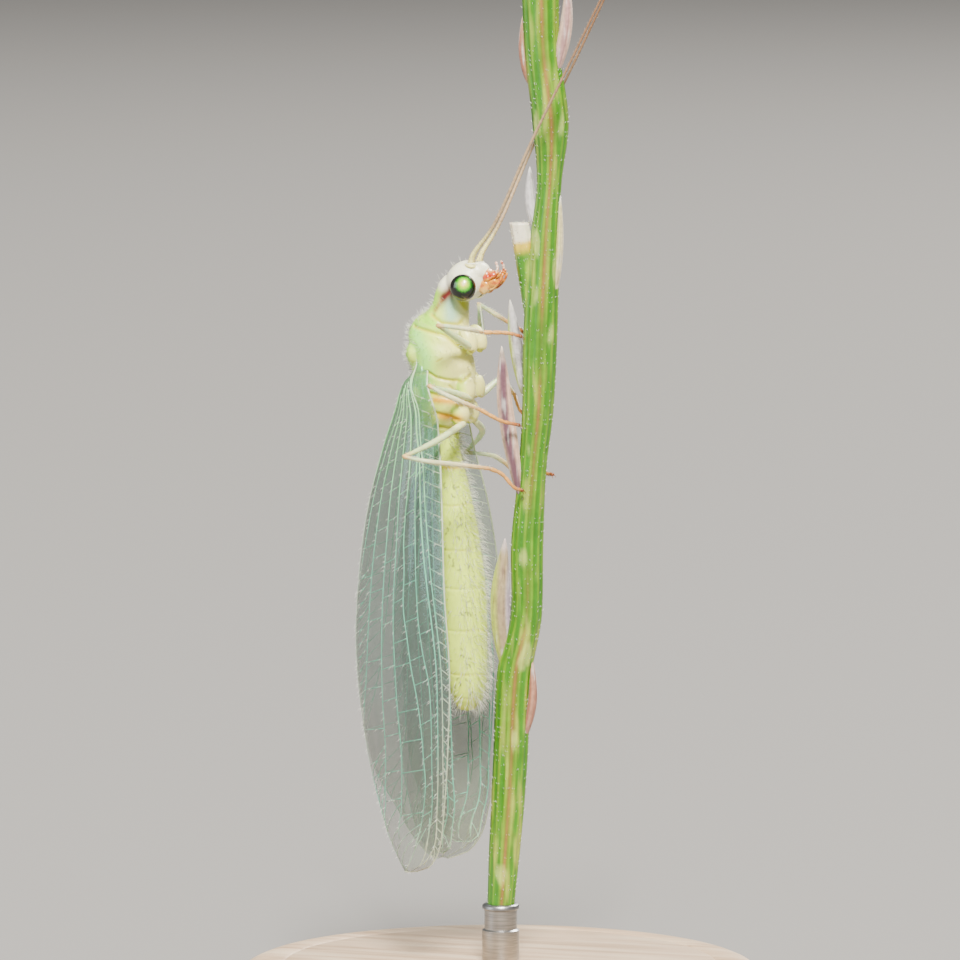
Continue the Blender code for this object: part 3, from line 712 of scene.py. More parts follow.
def grow_hairs(name, roots, ways, lean, lengths, radius, uv, rings=2):
    """A mesh of hairs in mm: from its root each goes along its way and bends towards lean."""
    points, faces = hair_template(rings)
    count, size = len(roots), len(points)
    roots, ways, lean, uv = np.array(roots), unit(np.array(ways)), np.array(lean), np.array(uv)
    across = unit(np.cross(ways, np.array([0.31, 0.52, 0.79])))
    up = np.cross(ways, across)
    high = points[:, 2][None, :, None]
    lengths = np.array(lengths)[:, None, None]
    places = roots[:, None, :] + lengths * (high * ways[:, None, :] + high**2 * lean[:, None, :])
    places = places + radius * points[:, 0][None, :, None] * across[:, None, :]
    places = places + radius * points[:, 1][None, :, None] * up[:, None, :]
    mesh = bpy.data.meshes.new(name)
    mesh.vertices.add(count * size)
    mesh.vertices.foreach_set("co", (places * MM).astype(np.float32).ravel())
    corners = (faces[None] + np.arange(count)[:, None, None] * size).reshape(-1)
    mesh.loops.add(len(corners))
    mesh.loops.foreach_set("vertex_index", corners.astype(np.int32))
    mesh.polygons.add(len(corners) // 3)
    mesh.polygons.foreach_set("loop_start", np.arange(0, len(corners), 3, dtype=np.int32))
    mesh.update(calc_edges=True)
    mesh.shade_smooth()
    layer = mesh.uv_layers.new(name="OFBake")
    patch = (points[:, :2] * 0.5 + 0.5) * UV_PATCH
    all_uv = np.clip(uv, 0, 1 - UV_PATCH)[:, None, :] + patch[None]
    layer.data.foreach_set("uv", all_uv.reshape(-1, 2)[corners].astype(np.float32).ravel())
    along = mesh.attributes.new("along", "FLOAT", "POINT")
    along.data.foreach_set("value", np.tile(points[:, 2], count).astype(np.float32))
    obj = bpy.data.objects.new(name, mesh)
    bpy.context.scene.collection.objects.link(obj)
    return obj


def hair_material(name, root, tip, roughness=0.35):
    """Pale hair, a little darker at its root."""
    material, tree, shader = make_material(name, roughness, transmission_weight=0.15)
    colour = colour_ramp(tree, [(0.0, root), (0.7, tip)], read_attribute(tree, "along").outputs["Fac"])
    finish_material(tree, shader, colour, mottle=(9000.0, 0.1), grain=(40000.0, 0.1))
    return material


# %% Hairs of the body
BODY_HAIRS = 3400
BODY_HAIR_WIDTH = 0.007


def grow_body_hairs():
    rng = np.random.default_rng(11)
    places, normals = skin_places, skin_normals
    x, y, z = places.T
    abdomen = ramp(16.3, 15.9, z)
    belly = ramp(-0.1, 0.7, normals[:, 0])
    back = ramp(0.0, -0.7, normals[:, 0])
    weight = abdomen * (0.35 + 1.5 * belly + 0.4 * ramp(9.6, 8.9, z)) + (1 - abdomen) * (0.25 + 1.1 * back)
    weight *= 1 - 0.9 * ramp(19.6, 19.8, z)
    weight *= 1 - 0.8 * furrow_mask
    picked = rng.choice(len(places), BODY_HAIRS, replace=False, p=weight / weight.sum())
    length = 0.10 + 0.10 * abdomen[picked] + 0.05 * belly[picked] + 0.04 * back[picked]
    length *= rng.uniform(0.6, 1.25, len(picked))
    ways = normals[picked] + rng.normal(0, 0.25, (len(picked), 3))
    lean = np.zeros((len(picked), 3))
    lean[:, 2] = -0.55 * abdomen[picked] + 0.25 * (1 - abdomen[picked])
    lean += rng.normal(0, 0.12, lean.shape)
    uv = np.column_stack([np.arctan2(y[picked], x[picked] + 1.3) / math.tau + 0.5, (z[picked] - 8) / 13])
    return grow_hairs("body_hairs", places[picked], ways, lean, length, BODY_HAIR_WIDTH, uv, rings=3)


WHITE_HAIR = hair_material("white_hair", (0.75, 0.78, 0.50), (0.95, 0.93, 0.85))
place_piece(grow_body_hairs(), WHITE_HAIR, "flesh")

# %% [markdown]
# A lacewing's eye is a ball of some thousands of tiny lenses that shines green and gold. An
# icosphere has its points spread almost as evenly as real lenses. One more subdivision puts a
# valley between all of them, and raising the first points by 3.5 microns makes each a lens. The
# gold, green and dark bands are laid round a pole on the eye, with a little noise on their borders.
# The pole faces the camera on the right eye. The gold and green are the eye's own colour, but the
# pale gold centre is a painted highlight and the near-black outer bands are painted shade.

# %% Eyes
LENS_HEIGHT = 0.0035
EYE_DETAIL = 5
EYE_HIGHLIGHT_POLE = (0.32, 0.88, 0.36)  # towards the painted highlight, on the left eye; mirrored, it faces the camera on the right eye
# Gold and green are the eye's own colour; the pale gold centre is a painted highlight and the near-black
# outer bands are painted shade.
EYE_BANDS_AND_PAINTED_LIGHT = [
    (0.00, (1.00, 0.97, 0.60)),
    (0.035, (1.00, 0.90, 0.30)),
    (0.060, (0.90, 0.75, 0.12)),
    (0.100, (0.45, 0.72, 0.01)),
    (0.160, (0.07, 0.42, 0.005)),
    (0.205, (0.01, 0.10, 0.004)),
    (0.240, (0.003, 0.010, 0.003)),
    (0.340, (0.006, 0.003, 0.002)),
    (1.000, (0.03, 0.008, 0.004)),
]


def build_eye(name, side):
    """A ball of lenses; each point keeps how far it lies from the painted highlight at the pole."""
    bm = bmesh.new()
    bmesh.ops.create_icosphere(bm, subdivisions=EYE_DETAIL, radius=1)
    lenses = set(bm.verts)
    bmesh.ops.subdivide_edges(bm, edges=bm.edges, cuts=1, use_grid_fill=True)
    centre = Vector((EYE_MIDDLE[0], side * EYE_MIDDLE[1], EYE_MIDDLE[2]))
    for vert in bm.verts:
        out = vert.co.normalized()
        raised = LENS_HEIGHT if vert in lenses else 0
        vert.co = centre + Vector([(radius + raised) * o for radius, o in zip(EYE_RADII, out)])
    eye = finish_mesh(name, bm)
    out = (points_of(eye) / MM - np.array(centre)) / np.array(EYE_RADII)
    # The pole is where the painted highlight sits; on the right eye it faces the camera, and the left eye
    # mirrors it.
    highlight_pole = unit(np.array([[EYE_HIGHLIGHT_POLE[0], side * EYE_HIGHLIGHT_POLE[1], EYE_HIGHLIGHT_POLE[2]]]))[0]
    angle = np.arccos(np.clip(unit(out) @ highlight_pole, -1, 1)) / math.pi
    mark(eye, "band", angle + clouds(out, 3.5) * 0.020 + clouds(out, 11.0) * 0.022)
    return eye


eye_material, eye_tree, eye_shader = make_material("faceted_eye", 0.20, coat_weight=0.35, coat_roughness=0.05)
finish_material(
    eye_tree, eye_shader, colour_ramp(eye_tree, EYE_BANDS_AND_PAINTED_LIGHT, read_attribute(eye_tree, "band").outputs["Fac"]),
    mottle=(30000.0, 0.15), grain=(60000.0, 0.05),
)
for side_name, side in SIDES.items():
    place_piece(build_eye(f"eye_{side_name}", side), eye_material, "eye", f"eye_{side_name}")

# %% [markdown]
# The mouthparts point forward and up from the head: an upper lip over two jaws, and round them
# the jointed feeler-like palps. Each palp is a chain of small beads, so it is swept with a radius
# that pinches in at every joint. The jaws and the lip are amber with red joints.

# %% Mouthparts
BEAD_POINTS, BEAD_PINCH = 6, 0.62


def beaded(start, end, beads, radius):
    """Points and half widths along a chain of beads between two places."""
    count = beads * BEAD_POINTS + 1
    route = [Vector(start).lerp(Vector(end), i / (count - 1)) for i in range(count)]
    swell = [abs(math.sin(math.pi * i / BEAD_POINTS)) for i in range(count)]
    return route, [radius * (BEAD_PINCH + (1 - BEAD_PINCH) * share) for share in swell]


def bent_beads(points, beads_each, radius):
    """A palp: a chain of beads that bends at each given point."""
    route, radii = [], []
    for start, end in zip(points, points[1:]):
        part, widths = beaded(start, end, beads_each, radius)
        skip = 1 if route else 0
        route += part[skip:]
        radii += widths[skip:]
    return route, radii


UPPER_LIP = [((-0.36, 0, 20.36), (0.20, 0.26, 0.20), 0), ((-0.16, 0, 20.36), (0.16, 0.20, 0.15), 20)]
JAWS = [  # middle, radii and lean of each piece, on both sides
    ((-0.20, 0.16, 20.18), (0.20, 0.10, 0.15), -20),
    ((-0.38, 0.20, 20.06), (0.16, 0.10, 0.20), 15),
    ((-0.30, 0.24, 20.30), (0.10, 0.06, 0.10), 0),
    ((-0.06, 0.10, 20.22), (0.14, 0.07, 0.09), -35),
]
PALPS = [  # the bends of each palp, the beads between two bends and the half width
    ([(-0.30, 0.26, 20.24), (-0.02, 0.27, 20.40), (0.02, 0.24, 20.58), (-0.05, 0.20, 20.74)], 2, 0.038),
    ([(-0.34, 0.14, 19.98), (-0.14, 0.17, 20.02), (0.06, 0.18, 20.22), (0.14, 0.16, 20.42)], 1, 0.036),
    ([(-0.22, 0.20, 20.20), (0.06, 0.20, 20.40), (0.10, 0.16, 20.52)], 2, 0.034),
]
LIP_JOINT = [(-0.42, 20.30), (-0.22, 20.38), (-0.10, 20.42)]
JAW_AMBER, JAW_HONEY, PALP_PINK = (0.82, 0.32, 0.02), (0.90, 0.62, 0.20), (0.86, 0.62, 0.45)
JOINT_RED, JAW_BROWN = (0.50, 0.015, 0.005), (0.48, 0.05, 0.01)


def build_mouth():
    """The upper lip, the jaws and the palps, with dark joints."""
    bm = bmesh.new()
    for middle, radii, lean in UPPER_LIP:
        add_ball(bm, middle, radii, lean)
    for side in SIDES.values():
        for (x, y, z), radii, lean in JAWS:
            add_ball(bm, (x, side * y, z), radii, lean)
        for points, beads, radius in PALPS:
            route, radii = bent_beads([(x, side * y, z) for x, y, z in points], beads, radius)
            sweep(bm, route, radii, sides=12)
    mouth = finish_mesh("mouthparts", bm)
    places = points_of(mouth) / MM
    colours = all_of(places, JAW_AMBER)
    tint(colours, JAW_HONEY, ramp(20.15, 19.9, places[:, 2]))
    tint(colours, PALP_PINK, ramp(20.42, 20.6, places[:, 2]))
    tint(colours, JOINT_RED, near_line(places, LIP_JOINT, 0.07))
    tint(colours, JAW_BROWN, ramp(0.0, 0.3, clouds(places, 9.0)) * 0.75)
    store_colours(mouth, colours)
    return mouth


mouth_material = coloured_by_attribute(
    "amber_mouth", 0.25, mottle=(9000.0, 0.25), grain=(30000.0, 0.25), coat_weight=0.4, coat_roughness=0.15,
    subsurface_weight=0.2, subsurface_scale=0.06 * MM,
)
place_piece(build_mouth(), mouth_material, "mouth", "mouthparts")

# %% [markdown]
# A feeler is a thick first joint, a small second one, and a whip of some eighty short rings, each
# with a whorl of tiny hairs. The whip is one sweep whose radius swells a little on each ring.

# %% Feelers
ANTENNA_ROUTES = {
    "right": [(-0.74, -0.26, 20.60), (-0.62, -0.30, 20.98), (0.12, -0.60, 21.90), (1.21, -0.95, 24.00),
              (2.28, -1.10, 26.00), (3.25, -1.10, 27.90), (4.46, -1.00, 30.30)],
    "left": [(-0.72, 0.26, 20.60), (-0.60, 0.30, 20.98), (-0.16, 0.50, 21.80), (0.58, 1.00, 23.80),
             (1.50, 1.20, 25.70), (2.47, 1.20, 27.65), (3.64, 1.10, 30.00)],
}
FEELER_RINGS, RING_POINTS = 85, 4
RING_SWELL, FIRST_RING = 0.12, 0.05  # how much each ring stands out, and where on the feeler they start
FEELER_STATIONS = [
    (0, 0.15), (0.012, 0.185), (0.035, 0.155), (0.055, 0.10), (0.12, 0.074), (0.3, 0.046), (1, 0.024),
]
FEELER_TAN, FEELER_BROWN = (0.52, 0.36, 0.20), (0.26, 0.13, 0.06)
FEELER_HAIRS = 650


def smooth_value(stations, t):
    return smooth(stations, t)[0]


def build_feeler(name):
    count = FEELER_RINGS * RING_POINTS + 1
    route = smooth_route(ANTENNA_ROUTES[name], count)
    radii = []
    for i in range(count):
        share = i / (count - 1)
        ringed = RING_SWELL * (i % RING_POINTS in (1, 2)) if share > FIRST_RING else 0
        radii.append(smooth_value(FEELER_STATIONS, share) * (1 + ringed))
    bm = bmesh.new()
    sweep(bm, route, radii, sides=10)
    feeler = finish_mesh(f"antenna_{name}", bm)
    height = points_of(feeler)[:, 2] / MM
    share = (height - route[0].z) / (route[-1].z - route[0].z)
    colours = all_of(share, FEELER_TAN)
    tint(colours, FEELER_BROWN, ramp(0.25, 0.7, share))
    tint(colours, CREAM, ramp(0.13, 0.05, share))
    store_colours(feeler, colours)
    return feeler, route, radii


FINE_HAIR_WIDTH = 0.0045


def hairs_along(name, route, radii, count, length, lean_on, seed, start=0.0):
    """Short hairs all round a tube, leaning along it."""
    rng = np.random.default_rng(seed)
    frames = route_frames(route)
    shares = rng.uniform(start, 1, count)
    angles = rng.uniform(0, math.tau, count)
    roots, ways, leans = [], [], []
    for share, angle in zip(shares, angles):
        i = min(int(share * (len(route) - 1)), len(route) - 1)
        way, across, up = frames[i]
        out = across * math.cos(angle) + up * math.sin(angle)
        roots.append(route[i] + out * radii[i] * 0.9)
        ways.append(out + way * lean_on)
        leans.append(way * 0.35)
    uv = np.column_stack([angles / math.tau, shares])
    lengths = length * rng.uniform(0.6, 1.2, count)
    return grow_hairs(name, roots, ways, leans, lengths, FINE_HAIR_WIDTH, uv)


feeler_material = coloured_by_attribute("ringed_feeler", 0.45, mottle=(12000.0, 0.3), grain=(40000.0, 0.3))
BROWN_HAIR = hair_material("brown_hair", (0.35, 0.22, 0.12), (0.62, 0.45, 0.30))
for number, side_name in enumerate(SIDES):
    feeler, route, radii = build_feeler(side_name)
    place_piece(feeler, feeler_material, "feeler", f"antenna_{side_name}")
    hairs_name = f"antenna_hairs_{side_name}"
    fuzz = hairs_along(hairs_name, route, radii, FEELER_HAIRS, 0.055, 0.7, 21 + number, FIRST_RING)
    place_piece(fuzz, BROWN_HAIR, "feeler")

# %% [markdown]
# The legs are thin as threads, and pale, because they carry almost nothing. Each leg is one sweep
# from hip to ankle, swollen a little at the knee, and each foot is another with five joints, the
# last of them ending in a pair of hooked claws that hold the stem.

# %% Legs and feet
LEGS = {
    ("fore", "right"): dict(
        femur=[(-0.66, -0.42, 18.44), (-1.12, -1.75, 19.13)],
        tibia=[(-1.12, -1.75, 19.13), (-0.32, -1.70, 19.06), (-0.07, -1.15, 18.93)],
        tarsus=[(-0.07, -1.15, 18.93), (0.44, -0.75, 18.90), (0.72, -0.45, 18.80)]),
    ("fore", "left"): dict(
        femur=[(-0.66, 0.42, 18.44), (-1.29, 1.90, 19.41)],
        tibia=[(-1.29, 1.90, 19.41), (-0.26, 1.35, 19.00)],
        tarsus=[(-0.26, 1.35, 19.00), (0.20, 0.90, 18.88), (0.40, 0.72, 18.80)]),
    ("mid", "right"): dict(
        femur=[(-0.70, -0.42, 17.10), (-1.31, -1.90, 17.52)],
        tibia=[(-1.31, -1.90, 17.52), (-0.71, -1.90, 17.24), (-0.10, -1.30, 16.88)],
        tarsus=[(-0.10, -1.30, 16.88), (0.35, -0.95, 16.57), (0.70, -0.55, 16.43)]),
    ("mid", "left"): dict(
        femur=[(-0.70, 0.42, 17.10), (-0.66, 1.90, 17.46)],
        tibia=[(-0.66, 1.90, 17.46), (-0.12, 1.50, 17.02)],
        tarsus=[(-0.12, 1.50, 17.02), (0.24, 0.90, 16.69), (0.62, 0.42, 16.56)]),
    ("hind", "right"): dict(
        femur=[(-0.88, -0.45, 16.40), (-1.16, -1.75, 16.05), (-1.71, -2.75, 15.70)],
        tibia=[(-1.71, -2.75, 15.70), (-1.07, -2.75, 15.60), (-0.38, -2.00, 15.45), (0.15, -1.20, 15.30)],
        tarsus=[(0.15, -1.20, 15.30), (0.40, -0.95, 15.13), (0.67, -0.76, 14.77), (0.80, -0.54, 14.68)]),
    ("hind", "left"): dict(
        femur=[(-0.88, 0.45, 16.40), (-1.15, 1.75, 15.95), (-1.94, 2.60, 15.30)],
        tibia=[(-1.94, 2.60, 15.30), (-1.10, 2.30, 15.28), (-0.50, 1.60, 15.20), (-0.15, 1.20, 15.08)],
        tarsus=[(-0.15, 1.20, 15.08), (0.45, 0.98, 15.04), (1.05, 0.78, 15.00), (1.30, 0.50, 15.02)]),
}
FEMUR_WIDTHS = [(0, 0.085), (0.15, 0.095), (0.5, 0.085), (0.9, 0.058), (1, 0.068)]
TIBIA_WIDTHS = [(0, 0.060), (0.1, 0.050), (0.5, 0.066), (1, 0.050)]
FEMUR_POINTS, TIBIA_POINTS = 40, 60
FOOT_JOINTS, JOINT_POINTS = 5, 8
CLAW_POINTS, CLAW_REACH, CLAW_TURN = 9, 0.10, 1.5
LEG_HAIRS, FOOT_HAIRS = 260, 110
LEG_COLOURS = [
    (0.00, (0.80, 0.86, 0.40)),
    (0.33, (0.58, 0.76, 0.34)),
    (0.41, (0.74, 0.46, 0.16)),
    (0.48, (0.62, 0.74, 0.40)),
    (0.80, (0.76, 0.66, 0.34)),
    (1.00, (0.80, 0.42, 0.12)),
]
FOOT_COLOURS = [
    (0.0, (0.82, 0.42, 0.10)),
    (0.6, (0.80, 0.34, 0.07)),
    (0.9, (0.55, 0.16, 0.03)),
    (1.0, (0.20, 0.05, 0.01)),
]


def store_along(obj, route):
    """Keeps in each point how far along the route it lies, from 0 to 1."""
    places = points_of(obj) / MM
    stations = np.array(route)
    nearest = np.argmin(np.linalg.norm(places[:, None, :] - stations[None], axis=2), axis=1)
    mark(obj, "along", nearest / (len(route) - 1))


def leg_route(joints):
    """Femur and tibia as one route, which bends sharply at the knee."""
    route, radii = [], []
    for part, widths, count in (("femur", FEMUR_WIDTHS, FEMUR_POINTS), ("tibia", TIBIA_WIDTHS, TIBIA_POINTS)):
        skip = 1 if route else 0
        route += smooth_route(joints[part], count)[skip:]
        radii += [smooth_value(widths, i / (count - 1)) for i in range(skip, count)]
    return route, radii


def foot_route(joints):
    """The foot tapers to its tip and is pinched at each of its joints."""
    count = FOOT_JOINTS * JOINT_POINTS + 1
    route = smooth_route(joints["tarsus"], count)
    radii = []
    for i in range(count):
        share = i / (count - 1)
        swell = 0.72 + 0.28 * abs(math.sin(math.pi * (i % JOINT_POINTS) / JOINT_POINTS)) ** 0.5
        radii.append((0.060 - 0.016 * share) * swell)
    return route, radii


def build_foot(name, route, radii):
    """A jointed foot, its soft pad and its two hooked claws."""
    bm = bmesh.new()
    sweep(bm, route, radii, sides=14)
    way = (route[-1] - route[-3]).normalized()
    down = Vector((0.3, 0, -1)).normalized()
    across = way.cross(down).normalized()
    add_ball(bm, route[-1] + way * 0.02, (0.055, 0.055, 0.05), detail=16)
    shares = [i / (CLAW_POINTS - 1) for i in range(CLAW_POINTS)]
    for side in (-1, 1):
        claw = []
        for share in shares:
            turn = share * CLAW_TURN
            reach = (way * math.sin(turn) + down * (1 - math.cos(turn))) * CLAW_REACH
            claw.append(route[-1] + across * side * (0.025 + 0.02 * share) + reach)
        sweep(bm, claw, [0.020 - 0.015 * share for share in shares], sides=8)
    return finish_mesh(name, bm)


def ramp_material(name, stops, roughness, mottle, grain, **inputs):
    material, tree, shader = make_material(name, roughness, **inputs)
    colour = colour_ramp(tree, stops, read_attribute(tree, "along").outputs["Fac"])
    finish_material(tree, shader, colour, mottle, grain)
    return material


leg_material = ramp_material(
    "pale_leg", LEG_COLOURS, 0.4, (9000.0, 0.2), (30000.0, 0.3),
    subsurface_weight=0.3, subsurface_scale=0.08 * MM,
)
foot_material = ramp_material("tan_foot", FOOT_COLOURS, 0.4, (12000.0, 0.25), (30000.0, 0.3))
for number, ((pair, side_name), joints) in enumerate(LEGS.items()):
    route, radii = leg_route(joints)
    bm = bmesh.new()
    sweep(bm, route, radii, sides=16)
    leg = finish_mesh(f"{pair}_leg_{side_name}", bm)
    store_along(leg, route)
    place_piece(leg, leg_material, "leg", f"{pair}_femur_{side_name}", f"{pair}_tibia_{side_name}")
    fuzz = hairs_along(
        f"{pair}_leg_hairs_{side_name}", route, radii, LEG_HAIRS, 0.075, 0.8, 41 + number, start=0.1,
    )
    place_piece(fuzz, WHITE_HAIR, "leg")
    route, radii = foot_route(joints)
    foot = build_foot(f"{pair}_foot_{side_name}", route, radii)
    store_along(foot, route)
    place_piece(foot, foot_material, "foot", f"{pair}_tarsus_{side_name}")
    fuzz = hairs_along(
        f"{pair}_foot_hairs_{side_name}", route, radii, FOOT_HAIRS, 0.06, 0.9, 61 + number,
    )
    place_piece(fuzz, BROWN_HAIR, "foot")

# %% [markdown]
# The four wings lie over the body like the two slopes of a roof. A wing is first of all a map:
# a height and a share of the way from its hind margin to its front margin give a place in space.
# The membrane, every vein and every hair use the same map, so they can't come apart.

# %% Where a wing lies
# height, then X and outward Y of the hind margin along the ridge and of the front margin at the side
WING_STATIONS = [
    (18.20, -2.10, 0.34, -1.92, 0.52),
    (17.95, -2.12, 0.36, -1.82, 0.66),
    (17.40, -2.62, 0.36, -1.70, 1.00),
    (16.60, -2.92, 0.29, -1.40, 1.14),
    (15.60, -3.27, 0.26, -1.24, 1.34),
    (14.00, -3.70, 0.26, -1.00, 1.82),
    (12.00, -3.98, 0.26, -0.80, 2.19),
    (9.90, -4.04, 0.26, -0.59, 2.36),
    (7.30, -3.67, 0.36, -0.75, 2.12),
    (5.70, -3.14, 0.62, -0.99, 1.80),
    (5.20, -2.92, 0.75, -1.08, 1.72),
    (4.80, -2.68, 0.88, -1.25, 1.62),
    (4.50, -2.46, 1.02, -1.52, 1.50),
    (4.40, -2.33, 1.10, -1.78, 1.38),
    (4.34, -2.20, 1.18, -1.98, 1.28),
]
# the hindwing lies inside the forewing: height, then its hind and front margins, in mm from the ridge
HINDWING_STATIONS = [
    (17.10, 0.95, 1.05),
    (16.70, 0.95, 1.20),
    (15.80, 1.05, 1.65),
    (14.40, 1.10, 2.30),
    (12.40, 1.10, 2.95),
    (9.90, 1.05, 3.35),
    (8.00, 0.95, 3.15),
    (6.50, 0.80, 2.70),
    (5.50, 0.75, 2.10),
    (4.95, 0.90, 1.65),
    (4.85, 1.10, 1.35),
]
HINDWING_DEPTH = 0.62
WING_BULGE, RIDGE_Y = 0.22, 0.06
RIDGE_CLOSED = (5.5, 7.5, 17.3, 18.0)  # heights between which the two hind margins meet at the ridge
PLEAT, PLEATS = 0.012, 7


def roof_place(z, distance, depth, side):
    """A point of the roof, some way from the ridge and some way inside the forewing."""
    hind_x, hind_y, front_x, front_y = smooth(WING_STATIONS, z)
    chord = Vector((front_x - hind_x, front_y - hind_y))
    along = chord.normalized()
    share = distance / chord.length
    out = Vector((-along.y, along.x))
    bulge = 4 * WING_BULGE * share * (1 - share)
    place = Vector((hind_x, hind_y)) + along * distance + out * (bulge - depth)
    low, closed_low, closed_high, high = RIDGE_CLOSED
    closing = float(ramp(low, closed_low, z) * ramp(high, closed_high, z)) * (hind_y - RIDGE_Y)
    closing *= max(0.0, 1 - share) ** 3
    place += Vector((-math.tan(VIEW_TURN) * closing, -closing))
    return Vector((place.x, side * place.y, z))


def forewing_place(z, share, side):
    hind_x, hind_y, front_x, front_y = smooth(WING_STATIONS, z)
    pleat = PLEAT * math.cos(share * PLEATS * math.tau)
    return roof_place(z, math.hypot(front_x - hind_x, front_y - hind_y) * share, pleat, side)


def hindwing_place(z, share, side):
    near, far = smooth(HINDWING_STATIONS, z)
    pleat = PLEAT * math.cos(share * PLEATS * math.tau)
    return roof_place(z, near + (far - near) * share, HINDWING_DEPTH + pleat, side)


# %% [markdown]
# The network of veins is what makes a lacewing. A few long veins run from the root to the tip,
# a ladder of short, slanting ones fills the strip along the front margin, cross-veins tie the
# long ones together, and forked ends run out to the hind margin. Each long vein is a list of
# (height, share) on the map, and all the small ones are worked out between them.

# %% The veins of a wing
FOREWING_VEINS = {  # (height, share) along each long vein, then its half width at the root
    "costa": ([(18.15, 0.98), (17.0, 1.0), (11.0, 1.0), (5.2, 1.0), (4.36, 1.0)], 0.022),
    "subcosta": ([
        (18.1, 0.45), (17.56, 0.55), (16.99, 0.69), (16.25, 0.72), (15.39, 0.79), (14.09, 0.83),
        (12.81, 0.87), (11.59, 0.91), (10.0, 0.935), (8.5, 0.95), (7.3, 0.965), (6.0, 0.99)], 0.017),
    "radius": ([
        (18.1, 0.42), (17.56, 0.51), (16.99, 0.64), (16.25, 0.67), (15.39, 0.74), (14.09, 0.78),
        (12.81, 0.82), (11.59, 0.86), (10.0, 0.89), (8.5, 0.905), (7.3, 0.92), (6.0, 0.93), (5.1, 0.93),
        (4.6, 0.85)], 0.021),
    "sector": ([
        (15.6, 0.70), (14.6, 0.70), (13.3, 0.72), (11.84, 0.74), (11.1, 0.75), (10.31, 0.78), (9.6, 0.82),
        (8.6, 0.84), (7.4, 0.85), (6.0, 0.86), (5.0, 0.80)], 0.014),
    "zigzag": ([
        (17.3, 0.50), (15.4, 0.60), (13.32, 0.59), (12.53, 0.61), (11.49, 0.60), (10.76, 0.63), (9.91, 0.66),
        (9.19, 0.70), (8.15, 0.75), (7.53, 0.77), (6.72, 0.79), (5.8, 0.74), (5.0, 0.62)], 0.017),
    "media": ([
        (17.5, 0.42), (15.5, 0.48), (13.2, 0.51), (11.0, 0.49), (9.0, 0.50), (7.4, 0.52), (6.2, 0.46),
        (5.2, 0.30)], 0.014),
    "cubitus": ([
        (17.4, 0.36), (15.5, 0.36), (13.2, 0.38), (11.0, 0.36), (9.0, 0.33), (7.4, 0.30), (6.2, 0.18),
        (5.6, 0.03)], 0.014),
    "second_cubitus": ([
        (17.3, 0.28), (15.5, 0.23), (13.2, 0.22), (11.0, 0.19), (9.3, 0.12), (8.0, 0.01)], 0.013),
    "anal": ([(17.1, 0.20), (15.5, 0.11), (13.2, 0.07), (11.6, 0.01)], 0.012),
    "hind_margin": ([(17.6, 0.0), (11.0, 0.0), (5.0, 0.0), (4.36, 0.0)], 0.017),
}
HINDWING_VEINS = {
    "costa": ([(17.05, 1.0), (11.0, 1.0), (4.87, 1.0)], 0.022),
    "radius": ([(17.0, 0.7), (14.5, 0.80), (11.0, 0.86), (8.0, 0.88), (6.0, 0.88), (5.1, 0.75)], 0.024),
    "sector": ([(15.6, 0.62), (13.0, 0.68), (10.0, 0.72), (7.5, 0.74), (6.0, 0.68), (5.2, 0.5)], 0.017),
    "media": ([(16.6, 0.45), (14.0, 0.50), (11.0, 0.52), (8.0, 0.52), (6.4, 0.40), (5.6, 0.2)], 0.016),
    "cubitus": ([(16.4, 0.30), (14.0, 0.32), (11.0, 0.31), (8.6, 0.22), (7.2, 0.02)], 0.016),
    "hind_margin": ([(16.8, 0.0), (11.0, 0.0), (4.87, 0.0)], 0.015),
}
CROSS_VEIN = 0.0095
OUTER_VEIN = CROSS_VEIN * 0.9
FORKS_END = 4.6  # no forked end goes lower than this
VEIN_POINTS = 6  # for each millimetre of height
WINGS = {
    # ladders: two long veins, how many cross-veins between them, from and to which height
    # front: the same with one long vein, and cross-veins from it to the front margin
    # forks: the veins that forked ends may start from, how many, from and to which height
    # tips: from a long vein out to the margin of the tip, and last the rim of the tip itself
    "forewing": dict(
        place=forewing_place, stations=WING_STATIONS, veins=FOREWING_VEINS, hairs=1500,
        ladders=[
            ("radius", "sector", 10, 14.9, 5.6), ("sector", "zigzag", 11, 15.0, 5.8),
            ("zigzag", "media", 12, 16.4, 6.0), ("media", "cubitus", 12, 16.6, 6.2),
            ("cubitus", "second_cubitus", 10, 16.4, 8.2), ("second_cubitus", "anal", 5, 16.2, 12.0)],
        front=[("subcosta", 30, 17.2, 6.2), ("radius", 5, 5.9, 4.9)],
        forks=(["second_cubitus", "cubitus", "media", "zigzag"], 19, 12.6, 5.8),
        tips=[
            ((5.9, 0.84), (4.37, 0.80)), ((5.6, 0.80), (4.37, 0.45)), ((5.5, 0.72), (4.40, 0.12)),
            ((5.7, 0.72), (4.62, 0.0)), ((5.9, 0.60), (4.95, 0.0)), ((6.2, 0.46), (5.30, 0.0)),
            ((5.1, 0.93), (4.60, 1.0)), ((4.36, 0.0), (4.36, 1.0))],
    ),
    "hindwing": dict(
        place=hindwing_place, stations=HINDWING_STATIONS, veins=HINDWING_VEINS, hairs=800,
        ladders=[
            ("radius", "sector", 9, 14.8, 5.8), ("sector", "media", 10, 15.0, 6.2),
            ("media", "cubitus", 8, 15.6, 7.8)],
        front=[("radius", 22, 15.8, 6.0)],
        forks=(["cubitus", "media", "sector"], 13, 12.6, 6.4),
        tips=[
            ((6.0, 0.88), (4.88, 0.75)), ((5.7, 0.66), (4.88, 0.35)), ((6.0, 0.55), (5.1, 0.0)),
            ((6.4, 0.40), (5.6, 0.0)), ((5.4, 0.80), (5.0, 1.0)), ((4.87, 0.0), (4.87, 1.0))],
    ),
}


def share_at(vein, z):
    """Where a long vein lies at this height, as a share of the wing's width."""
    return smooth_value(vein[0], z)


